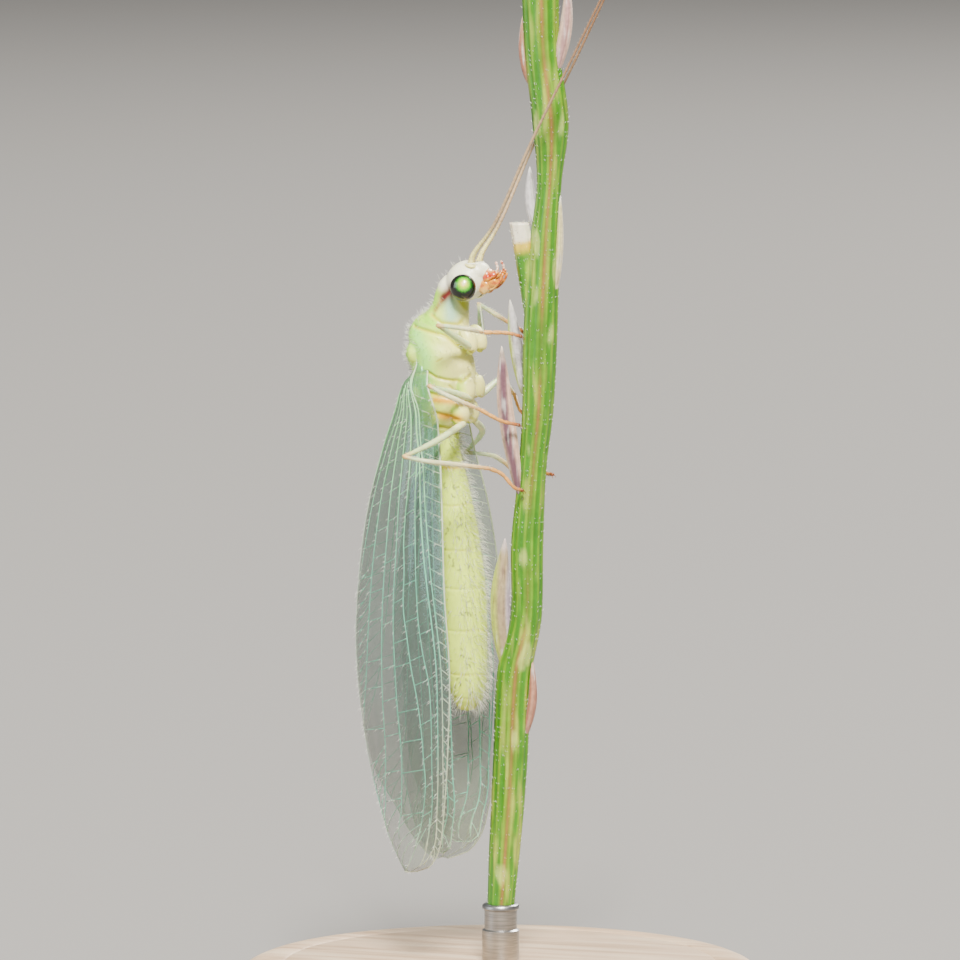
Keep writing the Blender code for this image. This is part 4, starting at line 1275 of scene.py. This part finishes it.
def small_vein(place, start, end, side, steps, width=CROSS_VEIN):
    """A tube that is straight on the wing's map, between two (height, share) places."""
    route = []
    for i in range(steps + 1):
        t = i / steps
        route.append(place(start[0] + (end[0] - start[0]) * t, start[1] + (end[1] - start[1]) * t, side))
    return route, [width] * len(route)


def long_veins(place, veins, side):
    """The veins that run from the root towards the tip, tapering on the way."""
    tubes = []
    for stations, width in veins.values():
        top, bottom = stations[0][0], stations[-1][0]
        count = max(12, round((top - bottom) * VEIN_POINTS))
        shares = [i / (count - 1) for i in range(count)]
        heights = [top + (bottom - top) * share for share in shares]
        route = [place(z, smooth_value(stations, z), side) for z in heights]
        tubes.append((route, [width * (1.15 - 0.5 * share) for share in shares]))
    return tubes


def cross_veins(place, veins, ladders, side, slant=0.10):
    """The rungs between neighbouring long veins, each a little off its even place."""
    rng = np.random.default_rng(3)
    tubes = []
    for first, second, count, high, low in ladders:
        for i in range(count):
            z = high + (low - high) * (i + rng.uniform(-0.22, 0.22)) / (count - 1)
            start = (z + slant, share_at(veins[first], z + slant))
            end = (z - slant, share_at(veins[second], z - slant))
            tubes.append(small_vein(place, start, end, side, 4))
    return tubes


def front_veins(place, vein, count, high, low, side):
    """Short slanting rungs from a long vein to the front margin."""
    tubes = []
    for i in range(count):
        z = high + (low - high) * i / (count - 1)
        tubes.append(small_vein(place, (z, share_at(vein, z)), (z - 0.16, 1.0), side, 3, OUTER_VEIN))
    return tubes


def hind_forks(place, veins, sources, count, high, low, side):
    """Slanting veins out to the hind margin, every one forked in two near its end."""
    tubes = []
    for i in range(count):
        z = high + (low - high) * i / (count - 1)
        inner = [share_at(veins[name], z) for name in sources if veins[name][0][-1][0] < z]
        if not inner:
            continue
        start = min(inner)
        reach = 0.35 + 2.0 * start
        fork = (z - reach * 0.5, start * 0.5)
        ends = [(z - reach, 0.0), (z - reach * 0.72, 0.0)]
        for begin, end in [((z, start), fork)] + [(fork, end) for end in ends]:
            if end[0] > FORKS_END:
                tubes.append(small_vein(place, begin, end, side, 4, OUTER_VEIN))
    return tubes


def wing_tubes(kind, side):
    """All the veins of a wing, each as a route and its half widths."""
    wing = WINGS[kind]
    place, veins = wing["place"], wing["veins"]
    tubes = long_veins(place, veins, side) + cross_veins(place, veins, wing["ladders"], side)
    for source, count, high, low in wing["front"]:
        tubes += front_veins(place, veins[source], count, high, low, side)
    tubes += [small_vein(place, begin, end, side, 8) for begin, end in wing["tips"]]
    return tubes + hind_forks(place, veins, *wing["forks"], side)


# %% The membranes, veins and hairs of the wings
MEMBRANE_THICK = 0.008
WING_TIP, WING_ROOT = 4.3, 18.2
WING_COLUMNS, WING_ROWS = 42, 96
VEIN_TEAL, VEIN_GREEN, VEIN_CREAM = (0.14, 0.52, 0.34), (0.34, 0.72, 0.26), (0.62, 0.60, 0.42)
RIDGE_BROWN, TIP_CREAM = (0.55, 0.50, 0.44), (0.60, 0.62, 0.40)
WING_HAIR_WIDTH = 0.0075


def build_membrane(name, kind, side):
    """A pleated sheet over the wing's map, with its real small thickness."""
    place, stations = WINGS[kind]["place"], WINGS[kind]["stations"]
    top, bottom = stations[0][0], stations[-1][0]
    bm = bmesh.new()
    bmesh.ops.create_grid(bm, x_segments=WING_COLUMNS, y_segments=WING_ROWS, size=0.5)
    for vert in bm.verts:
        down = vert.co.y + 0.5
        z = top + (bottom - top) * (0.6 * down + 0.4 * math.sin(down * math.pi / 2))
        vert.co = place(z, vert.co.x + 0.5, side)
    obj = finish_mesh(name, bm)
    walls = obj.modifiers.new("walls", "SOLIDIFY")
    walls.thickness = MEMBRANE_THICK * MM
    walls.offset = 0
    apply_modifiers(obj)
    return obj


def build_veins(name, tubes):
    """All the tubes of one wing as one mesh: green at the root, teal in the middle, pale at the rims."""
    bm = bmesh.new()
    for route, radii in tubes:
        sweep(bm, route, radii, sides=7)
    veins = finish_mesh(name, bm)
    places = points_of(veins) / MM
    colours = all_of(places, VEIN_TEAL)
    tint(colours, VEIN_GREEN, ramp(12.0, 17.0, places[:, 2]) * 0.8)
    tint(colours, VEIN_CREAM, near_front(places) * 0.75)
    tint(colours, RIDGE_BROWN, near_ridge(places) * 0.7)
    tint(colours, TIP_CREAM, ramp(6.4, 4.8, places[:, 2]) * 0.5)
    store_colours(veins, colours)
    return veins


def near_front(places):
    """Near 1 on the front margin of the forewings."""
    heights = np.linspace(WING_STATIONS[-1][0], WING_STATIONS[0][0], 60)
    fronts = np.array([smooth(WING_STATIONS, z)[3] for z in heights])
    return ramp(0.10, 0.04, np.interp(places[:, 2], heights, fronts) - np.abs(places[:, 1]))


def near_ridge(places):
    """Near 1 on the ridge, where the hind margins of the two sides meet."""
    return ramp(0.30, 0.12, np.abs(places[:, 1])) * ramp(16.0, 14.0, places[:, 2])


def build_wing_hairs(name, kind, tubes, side, seed):
    """Stiff hairs on all the veins, leaning to the wing's tip; on the margins they make a fringe."""
    rng = np.random.default_rng(seed)
    weights = np.array([len(route) * radii[0] for route, radii in tubes])
    chosen = rng.choice(len(tubes), WINGS[kind]["hairs"], p=weights / weights.sum())
    roots, ways, leans, uv = [], [], [], []
    for number in chosen:
        route, radii = tubes[number]
        i = int(rng.integers(0, len(route) - 1))
        root = route[i].lerp(route[i + 1], rng.random())
        along = (route[i + 1] - route[i]).normalized()
        out = along.cross(Vector((0.5, -side * 0.86, 0))).normalized()  # square to the vein, in the wing
        face = along.cross(out).normalized() * rng.choice([-1, 1])
        ways.append(face + out * rng.normal(0, 0.5) + Vector((0, 0, -0.4)))
        leans.append((0, 0, -0.3))
        roots.append(root + face * radii[i] * 0.8)
        uv.append((min(max((root.x + 4.3) / 4.3, 0), 1), (root.z - 4) / 15))
    lengths = rng.uniform(0.05, 0.11, len(roots))
    return grow_hairs(name, roots, ways, leans, lengths, WING_HAIR_WIDTH, uv)


membrane_material, membrane_tree, membrane_shader = make_material(
    "wing_membrane", 0.16, alpha=0.32, ior=1.45, coat_weight=0.3, coat_roughness=0.12,
    thin_film_thickness=420.0, thin_film_ior=1.56,
)
coordinates, axes = add_node(membrane_tree, "TexCoord"), add_node(membrane_tree, "SeparateXYZ")
height_share = add_node(membrane_tree, "MapRange", From_Min=WING_TIP * MM, From_Max=WING_ROOT * MM)
join(membrane_tree, (coordinates, "Object", axes, "Vector"), (axes, "Z", height_share, "Value"))
MEMBRANE_COLOURS = [
    (0.0, (0.20, 0.22, 0.15)),
    (0.35, (0.13, 0.175, 0.135)),
    (0.75, (0.10, 0.175, 0.125)),
    (0.92, (0.10, 0.30, 0.13)),
    (1.0, (0.20, 0.46, 0.16)),
]
finish_material(
    membrane_tree, membrane_shader,
    colour_ramp(membrane_tree, MEMBRANE_COLOURS, height_share.outputs["Result"]),
    mottle=(1500.0, 0.2), grain=(5000.0, 0.35),
)
vein_material = coloured_by_attribute("wing_vein", 0.35, mottle=(5000.0, 0.25), grain=(20000.0, 0.2))
WING_HAIR = hair_material("wing_hair", (0.60, 0.62, 0.48), (0.92, 0.90, 0.84))
for kind in ("forewing", "hindwing"):
    for side_name, side in SIDES.items():
        wing_name = f"{kind}_{side_name}"
        place_piece(build_membrane(wing_name, kind, side), membrane_material, "wing", wing_name)
        tubes = wing_tubes(kind, side)
        place_piece(build_veins(f"{wing_name}_veins", tubes), vein_material, "wing")
        place_piece(build_wing_hairs(f"{wing_name}_hairs", kind, tubes, side, 80 + side), WING_HAIR, "wing")

# %% [markdown]
# The grass stem is a ribbed rod, cut at both ends. It is lofted with fine ribs along it and one
# groove down the middle, where the green gives way to a pinkish brown. Scales of its flower head
# are pressed to it: each is a thin leaf with a keel, fine lines along it, and dry, silvery colours.

# %% The stem
STEM_BOTTOM, STEM_TOP = 3.3, 28.4
STEM_FLATTEN = 0.86
# height, then middle in X and half width of the stem
STEM_STATIONS = [
    (STEM_TOP, 1.12, 0.50),
    (26.3, 1.20, 0.47),
    (24.5, 1.42, 0.48),
    (22.9, 1.39, 0.33),
    (21.4, 1.27, 0.39),
    (19.0, 1.15, 0.45),
    (16.8, 1.07, 0.42),
    (15.3, 0.93, 0.37),
    (13.2, 0.77, 0.43),
    (11.2, 0.74, 0.42),
    (9.7, 0.42, 0.47),
    (7.0, 0.28, 0.46),
    (5.0, 0.14, 0.42),
    (STEM_BOTTOM, 0.02, 0.36),
]
STEM_LINES, STEM_SIDES = 200, 72
STEM_RIBS, RIB_HEIGHT = 13, 0.035
GROOVE_TURN, GROOVE_WIDTH, GROOVE_DEPTH = math.radians(-70), 0.14, 0.07
STUB = dict(foot=(0.98, -0.02, 19.3), end=(0.56, -0.05, 21.8), radius=0.26)
STEM_GREEN = (0.050, 0.22, 0.0)
RIB_GREEN = (0.20, 0.38, 0.0)
GROOVE_BROWN = (0.32, 0.14, 0.03)
STREAK_GREEN, STREAK_YELLOW, PATCH_GREEN = (0.03, 0.17, 0.0), (0.55, 0.55, 0.08), (0.60, 0.68, 0.16)
STUB_GREEN_END = 1.55  # how far up the stub its green reaches, in mm
STUB_YELLOW, STUB_CREAM, CUT_GREEN = (0.70, 0.50, 0.03), (0.92, 0.84, 0.62), (0.70, 0.74, 0.42)
STUB_LINES, STUB_SIDES, STUB_RIBS = 40, 36, 9
PRICKLES, PRICKLE_WIDTH = 1500, 0.010


def turn_from_groove(angle):
    return (angle - GROOVE_TURN + math.pi) % math.tau - math.pi


def stem_point(share, angle):
    z = STEM_TOP + (STEM_BOTTOM - STEM_TOP) * share
    x, half = smooth(STEM_STATIONS, z)
    ribs = 1 + RIB_HEIGHT * math.cos(angle * STEM_RIBS) + 0.008 * math.sin(angle * 31)
    groove = 1 - GROOVE_DEPTH * math.exp(-((turn_from_groove(angle) / GROOVE_WIDTH) ** 2))
    uneven = 1 + 0.02 * noise.noise(Vector((math.cos(angle), math.sin(angle), z * 0.8)))
    radius = half * ribs * groove * uneven
    return x + radius * math.cos(angle), radius * STEM_FLATTEN * math.sin(angle), z


def build_stem():
    bm = bmesh.new()
    loft(bm, STEM_LINES, STEM_SIDES, stem_point)
    foot, end = Vector(STUB["foot"]), Vector(STUB["end"])

    def stub_point(share, angle):
        middle = foot.lerp(end, share)
        radius = STUB["radius"] * (1 + 0.04 * math.cos(angle * STUB_RIBS))
        return middle + Vector((math.cos(angle), 0.9 * math.sin(angle), 0)) * radius

    loft(bm, STUB_LINES, STUB_SIDES, stub_point)
    return finish_mesh("perch_stem", bm)


def stem_colours(stem):
    """Green with paler ribs, a brown groove, pale patches and the dry end of the stub."""
    places = points_of(stem) / MM
    heights = np.linspace(STEM_BOTTOM, STEM_TOP, 200)
    middles = np.interp(places[:, 2], heights, [smooth(STEM_STATIONS, z)[0] for z in heights])
    angle = np.arctan2(places[:, 1] / STEM_FLATTEN, places[:, 0] - middles)
    turn = turn_from_groove(angle)
    z = places[:, 2]
    colours = all_of(places, STEM_GREEN)
    tint(colours, RIB_GREEN, ramp(0.1, 0.9, np.cos(angle * STEM_RIBS)) * 0.75)
    streak = clouds(places * np.array([1.0, 1.0, 0.12]), 6.0)
    tint(colours, STREAK_GREEN, ramp(0.05, 0.5, streak) * 0.6)
    tint(colours, STREAK_YELLOW, ramp(0.1, 0.6, -streak) * 0.5)
    broken = ramp(-0.75, 0.05, clouds(places * np.array([0.3, 0.3, 0.25]), 2.0, 9.0))
    tint(colours, GROOVE_BROWN, np.exp(-((turn / 0.13) ** 2)) * broken * 0.9)
    pale = ramp(0.42, 0.60, clouds(places * np.array([1.0, 1.0, 0.35]), 3.0, 21.0))
    tint(colours, PATCH_GREEN, pale * 0.5)
    foot, end = np.array(STUB["foot"]), np.array(STUB["end"])
    axis = (end - foot) / np.linalg.norm(end - foot)
    away = places - foot
    up = away @ axis
    near = np.linalg.norm(away - up[:, None] * axis, axis=1)
    on_stub = (near < STUB["radius"] * 1.1) & (places[:, 0] < middles - 0.15)
    rim = (up - STUB_GREEN_END) / (np.linalg.norm(end - foot) - STUB_GREEN_END)
    tint(colours, STUB_YELLOW, ramp(0.05, 0.35, rim) * on_stub)
    tint(colours, STUB_CREAM, ramp(0.40, 0.55, rim) * on_stub)
    tint(colours, CUT_GREEN, ramp(STEM_TOP - 0.02, STEM_TOP, z))
    return colours


stem = build_stem()
store_colours(stem, stem_colours(stem))
stem_material = coloured_by_attribute(
    "living_stem", 0.38, mottle=(3000.0, 0.25), grain=(9000.0, 0.5), coat_weight=0.25, coat_roughness=0.3,
    subsurface_weight=0.1, subsurface_scale=0.2 * MM,
)
place_piece(stem, stem_material, "stem", "perch_stem")


def grow_prickles():
    """The short white prickles on the ribs of the stem."""
    rng = np.random.default_rng(5)
    places, normals = points_of(stem) / MM, points_of(stem, "normal")
    picked = rng.choice(len(places), PRICKLES, replace=False)
    ways = normals[picked] + np.array([0, 0, 0.9])
    leans = np.tile([0.0, 0.0, 0.3], (len(picked), 1))
    angle = np.arctan2(places[picked, 1], places[picked, 0] - 0.8)
    uv = np.column_stack([angle / math.tau + 0.5, (places[picked, 2] - 3) / 26])
    lengths = rng.uniform(0.02, 0.07, len(picked))
    return grow_hairs("perch_prickles", places[picked], ways, leans, lengths, PRICKLE_WIDTH, uv)


place_piece(grow_prickles(), WHITE_HAIR, "stem")

# %% Scales of the flower head
# foot, middle and tip, then half the width and half the thickness
GLUMES = {
    "perch_glume_1": ((0.62, -0.22, 14.5), (0.24, -0.27, 16.9), (0.14, -0.27, 18.5), 0.22, 0.16),
    "perch_glume_2": ((0.66, 0.20, 17.0), (0.34, 0.30, 18.5), (0.16, 0.32, 19.7), 0.19, 0.15),
    "perch_glume_3": ((1.02, 0.04, 21.5), (0.84, 0.04, 22.4), (0.83, 0.02, 23.3), 0.15, 0.15),
    "perch_glume_4": ((0.20, 0.00, 9.6), (0.01, 0.00, 11.6), (0.14, 0.00, 13.3), 0.28, 0.22),
    "perch_glume_5": ((0.70, 0.00, 7.9), (0.93, 0.00, 9.0), (0.90, 0.00, 10.2), 0.12, 0.15),
    "perch_glume_6": ((1.56, 0.00, 25.7), (1.85, 0.00, 27.0), (1.92, 0.00, 28.3), 0.17, 0.17),
}
BRACTS = {
    "bract_right": ((1.55, 0.00, 19.8), (1.68, 0.00, 21.2), (1.70, 0.00, 22.6), 0.10, 0.14),
    "bract_left": ((0.80, 0.00, 25.5), (0.66, 0.00, 26.4), (0.63, 0.00, 27.3), 0.13, 0.14),
}
PURPLE, PINK_TAN = (0.16, 0.07, 0.09), (0.66, 0.42, 0.30)
SILVER, DRY_RED = (0.55, 0.52, 0.50), (0.34, 0.12, 0.06)
GLUME_PALE, GLUME_DARK = (0.70, 0.66, 0.62), (0.12, 0.05, 0.05)
GLUME_LINES, GLUME_SIDES = 70, 48
GLUME_LOOKS = {  # colours of the left edge, the middle and the right edge, then of the tip
    "perch_glume_1": (PINK_TAN, PURPLE, PINK_TAN, (0.85, 0.68, 0.55)),
    "perch_glume_2": ((0.40, 0.50, 0.05), SILVER, (0.22, 0.20, 0.19), (0.75, 0.70, 0.60)),
    "perch_glume_3": (SILVER, (0.70, 0.66, 0.64), SILVER, (0.80, 0.76, 0.70)),
    "perch_glume_4": ((0.45, 0.52, 0.06), (0.40, 0.30, 0.16), (0.42, 0.33, 0.38), (0.62, 0.50, 0.48)),
    "perch_glume_5": (DRY_RED, (0.45, 0.22, 0.14), DRY_RED, PINK_TAN),
    "perch_glume_6": (PINK_TAN, (0.45, 0.25, 0.22), PINK_TAN, (0.80, 0.62, 0.55)),
    "bract_right": ((0.55, 0.55, 0.15), (0.66, 0.58, 0.28), (0.72, 0.62, 0.36), (0.92, 0.88, 0.76)),
    "bract_left": (DRY_RED, (0.40, 0.20, 0.10), (0.35, 0.30, 0.08), PINK_TAN),
}


def build_glume(name, foot, middle, tip, half_width, half_thick):
    """A pointed scale with fine lines along it, bent through its foot, middle and tip."""
    stations = [(0, *foot), (0.5, *middle), (1, *tip)]

    def glume_point(share, angle):
        x, y, z = smooth(stations, share)
        full = math.sin(math.pi * min(max(share, 0.004), 0.996) ** 0.75) ** 0.7
        lines = 1 + 0.05 * math.cos(angle * 12) + 0.10 * math.exp(-(((angle + 1.2) / 0.25) ** 2))
        return (x + half_width * full * lines * math.cos(angle),
                y + half_thick * full * lines * math.sin(angle), z)

    bm = bmesh.new()
    loft(bm, GLUME_LINES, GLUME_SIDES, glume_point)
    obj = finish_mesh(name, bm)
    places = points_of(obj) / MM
    share = (places[:, 2] - foot[2]) / (tip[2] - foot[2])
    line = np.array([smooth(stations, value) for value in np.clip(share, 0, 1)])
    across = ((places - line) @ np.array([math.cos(VIEW_TURN), math.sin(VIEW_TURN), 0])) / half_width
    left, centre, right, end = GLUME_LOOKS[name]
    colours = all_of(places, centre)
    tint(colours, left, ramp(-0.15, -0.7, across))
    tint(colours, right, ramp(0.25, 0.75, across))
    streak = clouds(places * np.array([1.0, 1.0, 0.15]), 12.0, 4.0)
    tint(colours, GLUME_PALE, ramp(0.15, 0.6, streak) * 0.55)
    tint(colours, GLUME_DARK, ramp(0.2, 0.7, -streak) * 0.5)
    tint(colours, end, ramp(0.86, 0.99, share))
    store_colours(obj, colours)
    return obj


glume_material = coloured_by_attribute(
    "dry_scale", 0.42, mottle=(8000.0, 0.3), grain=(16000.0, 0.6), sheen_weight=0.3, sheen_roughness=0.4,
)
for name, shape in GLUMES.items():
    place_piece(build_glume(name, *shape), glume_material, "glume", name)
for name, shape in BRACTS.items():
    place_piece(build_glume(name, *shape), glume_material, "stem")

# %% [markdown]
# A museum model wants a quiet stand. The base is a turned disc of pale wood, spun from a profile
# of a few points with a rounded shoulder, and the rod is a sleeve of brushed steel that stands on
# it and holds the end of the stem.

# %% The stand
BASE_PROFILE = [
    (0.0, 0.0), (6.85, 0.0), (6.97, 0.06), (7.0, 0.18), (7.0, 1.30), (6.96, 1.52), (6.85, 1.68), (6.66, 1.76),
    (6.40, 1.80), (5.90, 1.80), (5.84, 1.77), (5.78, 1.80), (0.0, 1.80),
]
ROD_LOW, ROD_HIGH = 1.79, 3.40
ROD_PROFILE = [
    (0.0, ROD_LOW), (0.46, ROD_LOW), (0.5, ROD_LOW + 0.04), (0.5, ROD_LOW + 0.9), (0.44, ROD_LOW + 0.94),
    (0.44, ROD_HIGH - 0.16), (0.5, ROD_HIGH - 0.12), (0.5, ROD_HIGH - 0.04), (0.46, ROD_HIGH),
    (0.0, ROD_HIGH),
]
BASE_SIDES, ROD_SIDES = 96, 48
SHARP_EDGE = math.radians(50)
WOOD_COLOURS = [(0.3, (0.42, 0.27, 0.15)), (0.5, (0.60, 0.43, 0.27)), (0.7, (0.70, 0.54, 0.36))]
STEEL_COLOURS = [(0.3, (0.26, 0.26, 0.26)), (0.7, (0.42, 0.41, 0.40))]


def spin_profile(name, profile, middle_x, steps):
    """Turns a profile of (radius, height) points into a closed, round form."""
    bm = bmesh.new()
    verts = [bm.verts.new((middle_x + radius, 0, height)) for radius, height in profile]
    edges = [bm.edges.new(pair) for pair in zip(verts, verts[1:])]
    bmesh.ops.spin(
        bm, geom=verts + edges, cent=(middle_x, 0, 0), axis=(0, 0, 1), angle=math.tau, steps=steps,
        use_merge=True,
    )
    bmesh.ops.remove_doubles(bm, verts=bm.verts, dist=1e-4)
    obj = finish_mesh(name, bm)
    obj.data.set_sharp_from_angle(angle=SHARP_EDGE)
    return obj


def wood_material():
    material, tree, shader = make_material("pale_wood", 0.45, coat_weight=0.2, coat_roughness=0.3)
    rings = stretched_noise(tree, (1.0, 9.0, 9.0), Scale=240.0, Detail=6, Distortion=0.6)
    colour = colour_ramp(tree, WOOD_COLOURS, rings)
    finish_material(tree, shader, colour, (700.0, 0.08), (6000.0, 0.2))
    return material


def steel_material():
    material, tree, shader = make_material("brushed_steel", 0.38, metallic=1.0)
    scratches = stretched_noise(tree, (1.0, 1.0, 20.0), Scale=1500.0)
    colour = colour_ramp(tree, STEEL_COLOURS, scratches)
    finish_material(tree, shader, colour, (3000.0, 0.05), (9000.0, 0.15))
    return material


base = spin_profile("stand_base", BASE_PROFILE, 0.0, BASE_SIDES)
place_piece(base, wood_material(), "stand", "stand_base")
rod = spin_profile("stand_rod", ROD_PROFILE, STEM_STATIONS[-1][1], ROD_SIDES)
place_piece(rod, steel_material(), "rod", "stand_rod")

# %% [markdown]
# The set is plain: a pale floor that reaches far enough to fill the view, a soft sky, a large
# key light above the camera, a weaker fill from its left and a light from behind, which makes
# the hairs and the edges of the wings glow.

# %% Floor and lights
FLOOR_RADIUS, FLOOR_SIDES = 4.0, 96  # in metres
FLOOR_COLOUR = (0.22, 0.21, 0.195, 1)
SKY_COLOUR, SKY_STRENGTH = (0.80, 0.82, 0.85, 1), 0.30
AIM = (0.0, 0.0, 0.016)
LIGHTS = {  # place, size, power and colour of each
    "key_light": ((0.16, -0.36, 0.46), 0.14, 13.0, (1.0, 0.97, 0.92)),
    "fill_light": ((-0.40, -0.30, 0.16), 0.30, 1.2, (0.92, 0.96, 1.0)),
    "back_light": ((0.10, 0.42, 0.36), 0.20, 4.5, (1.0, 0.98, 0.95)),
}

bm = bmesh.new()
bmesh.ops.create_circle(bm, cap_ends=True, segments=FLOOR_SIDES, radius=FLOOR_RADIUS / MM)
floor = finish_mesh("floor", bm)
floor_material, _, floor_shader = make_material("pale_floor", 0.9)
floor_shader.inputs["Base Color"].default_value = FLOOR_COLOUR
floor.data.materials.append(floor_material)

world = bpy.data.worlds.new("studio")
world.use_nodes = True
sky = world.node_tree.nodes["Background"]
sky.inputs["Color"].default_value = SKY_COLOUR
sky.inputs["Strength"].default_value = SKY_STRENGTH
bpy.context.scene.world = world


def add_light(name, place, size, power, colour):
    """A square soft light; its place and size are in metres."""
    data = bpy.data.lights.new(name, "AREA")
    data.size = size
    data.energy = power
    data.color = colour
    light = bpy.data.objects.new(name, data)
    light.location = place
    light.rotation_euler = (Vector(place) - Vector(AIM)).to_track_quat("Z", "Y").to_euler()
    bpy.context.scene.collection.objects.link(light)


for name, light in LIGHTS.items():
    add_light(name, *light)
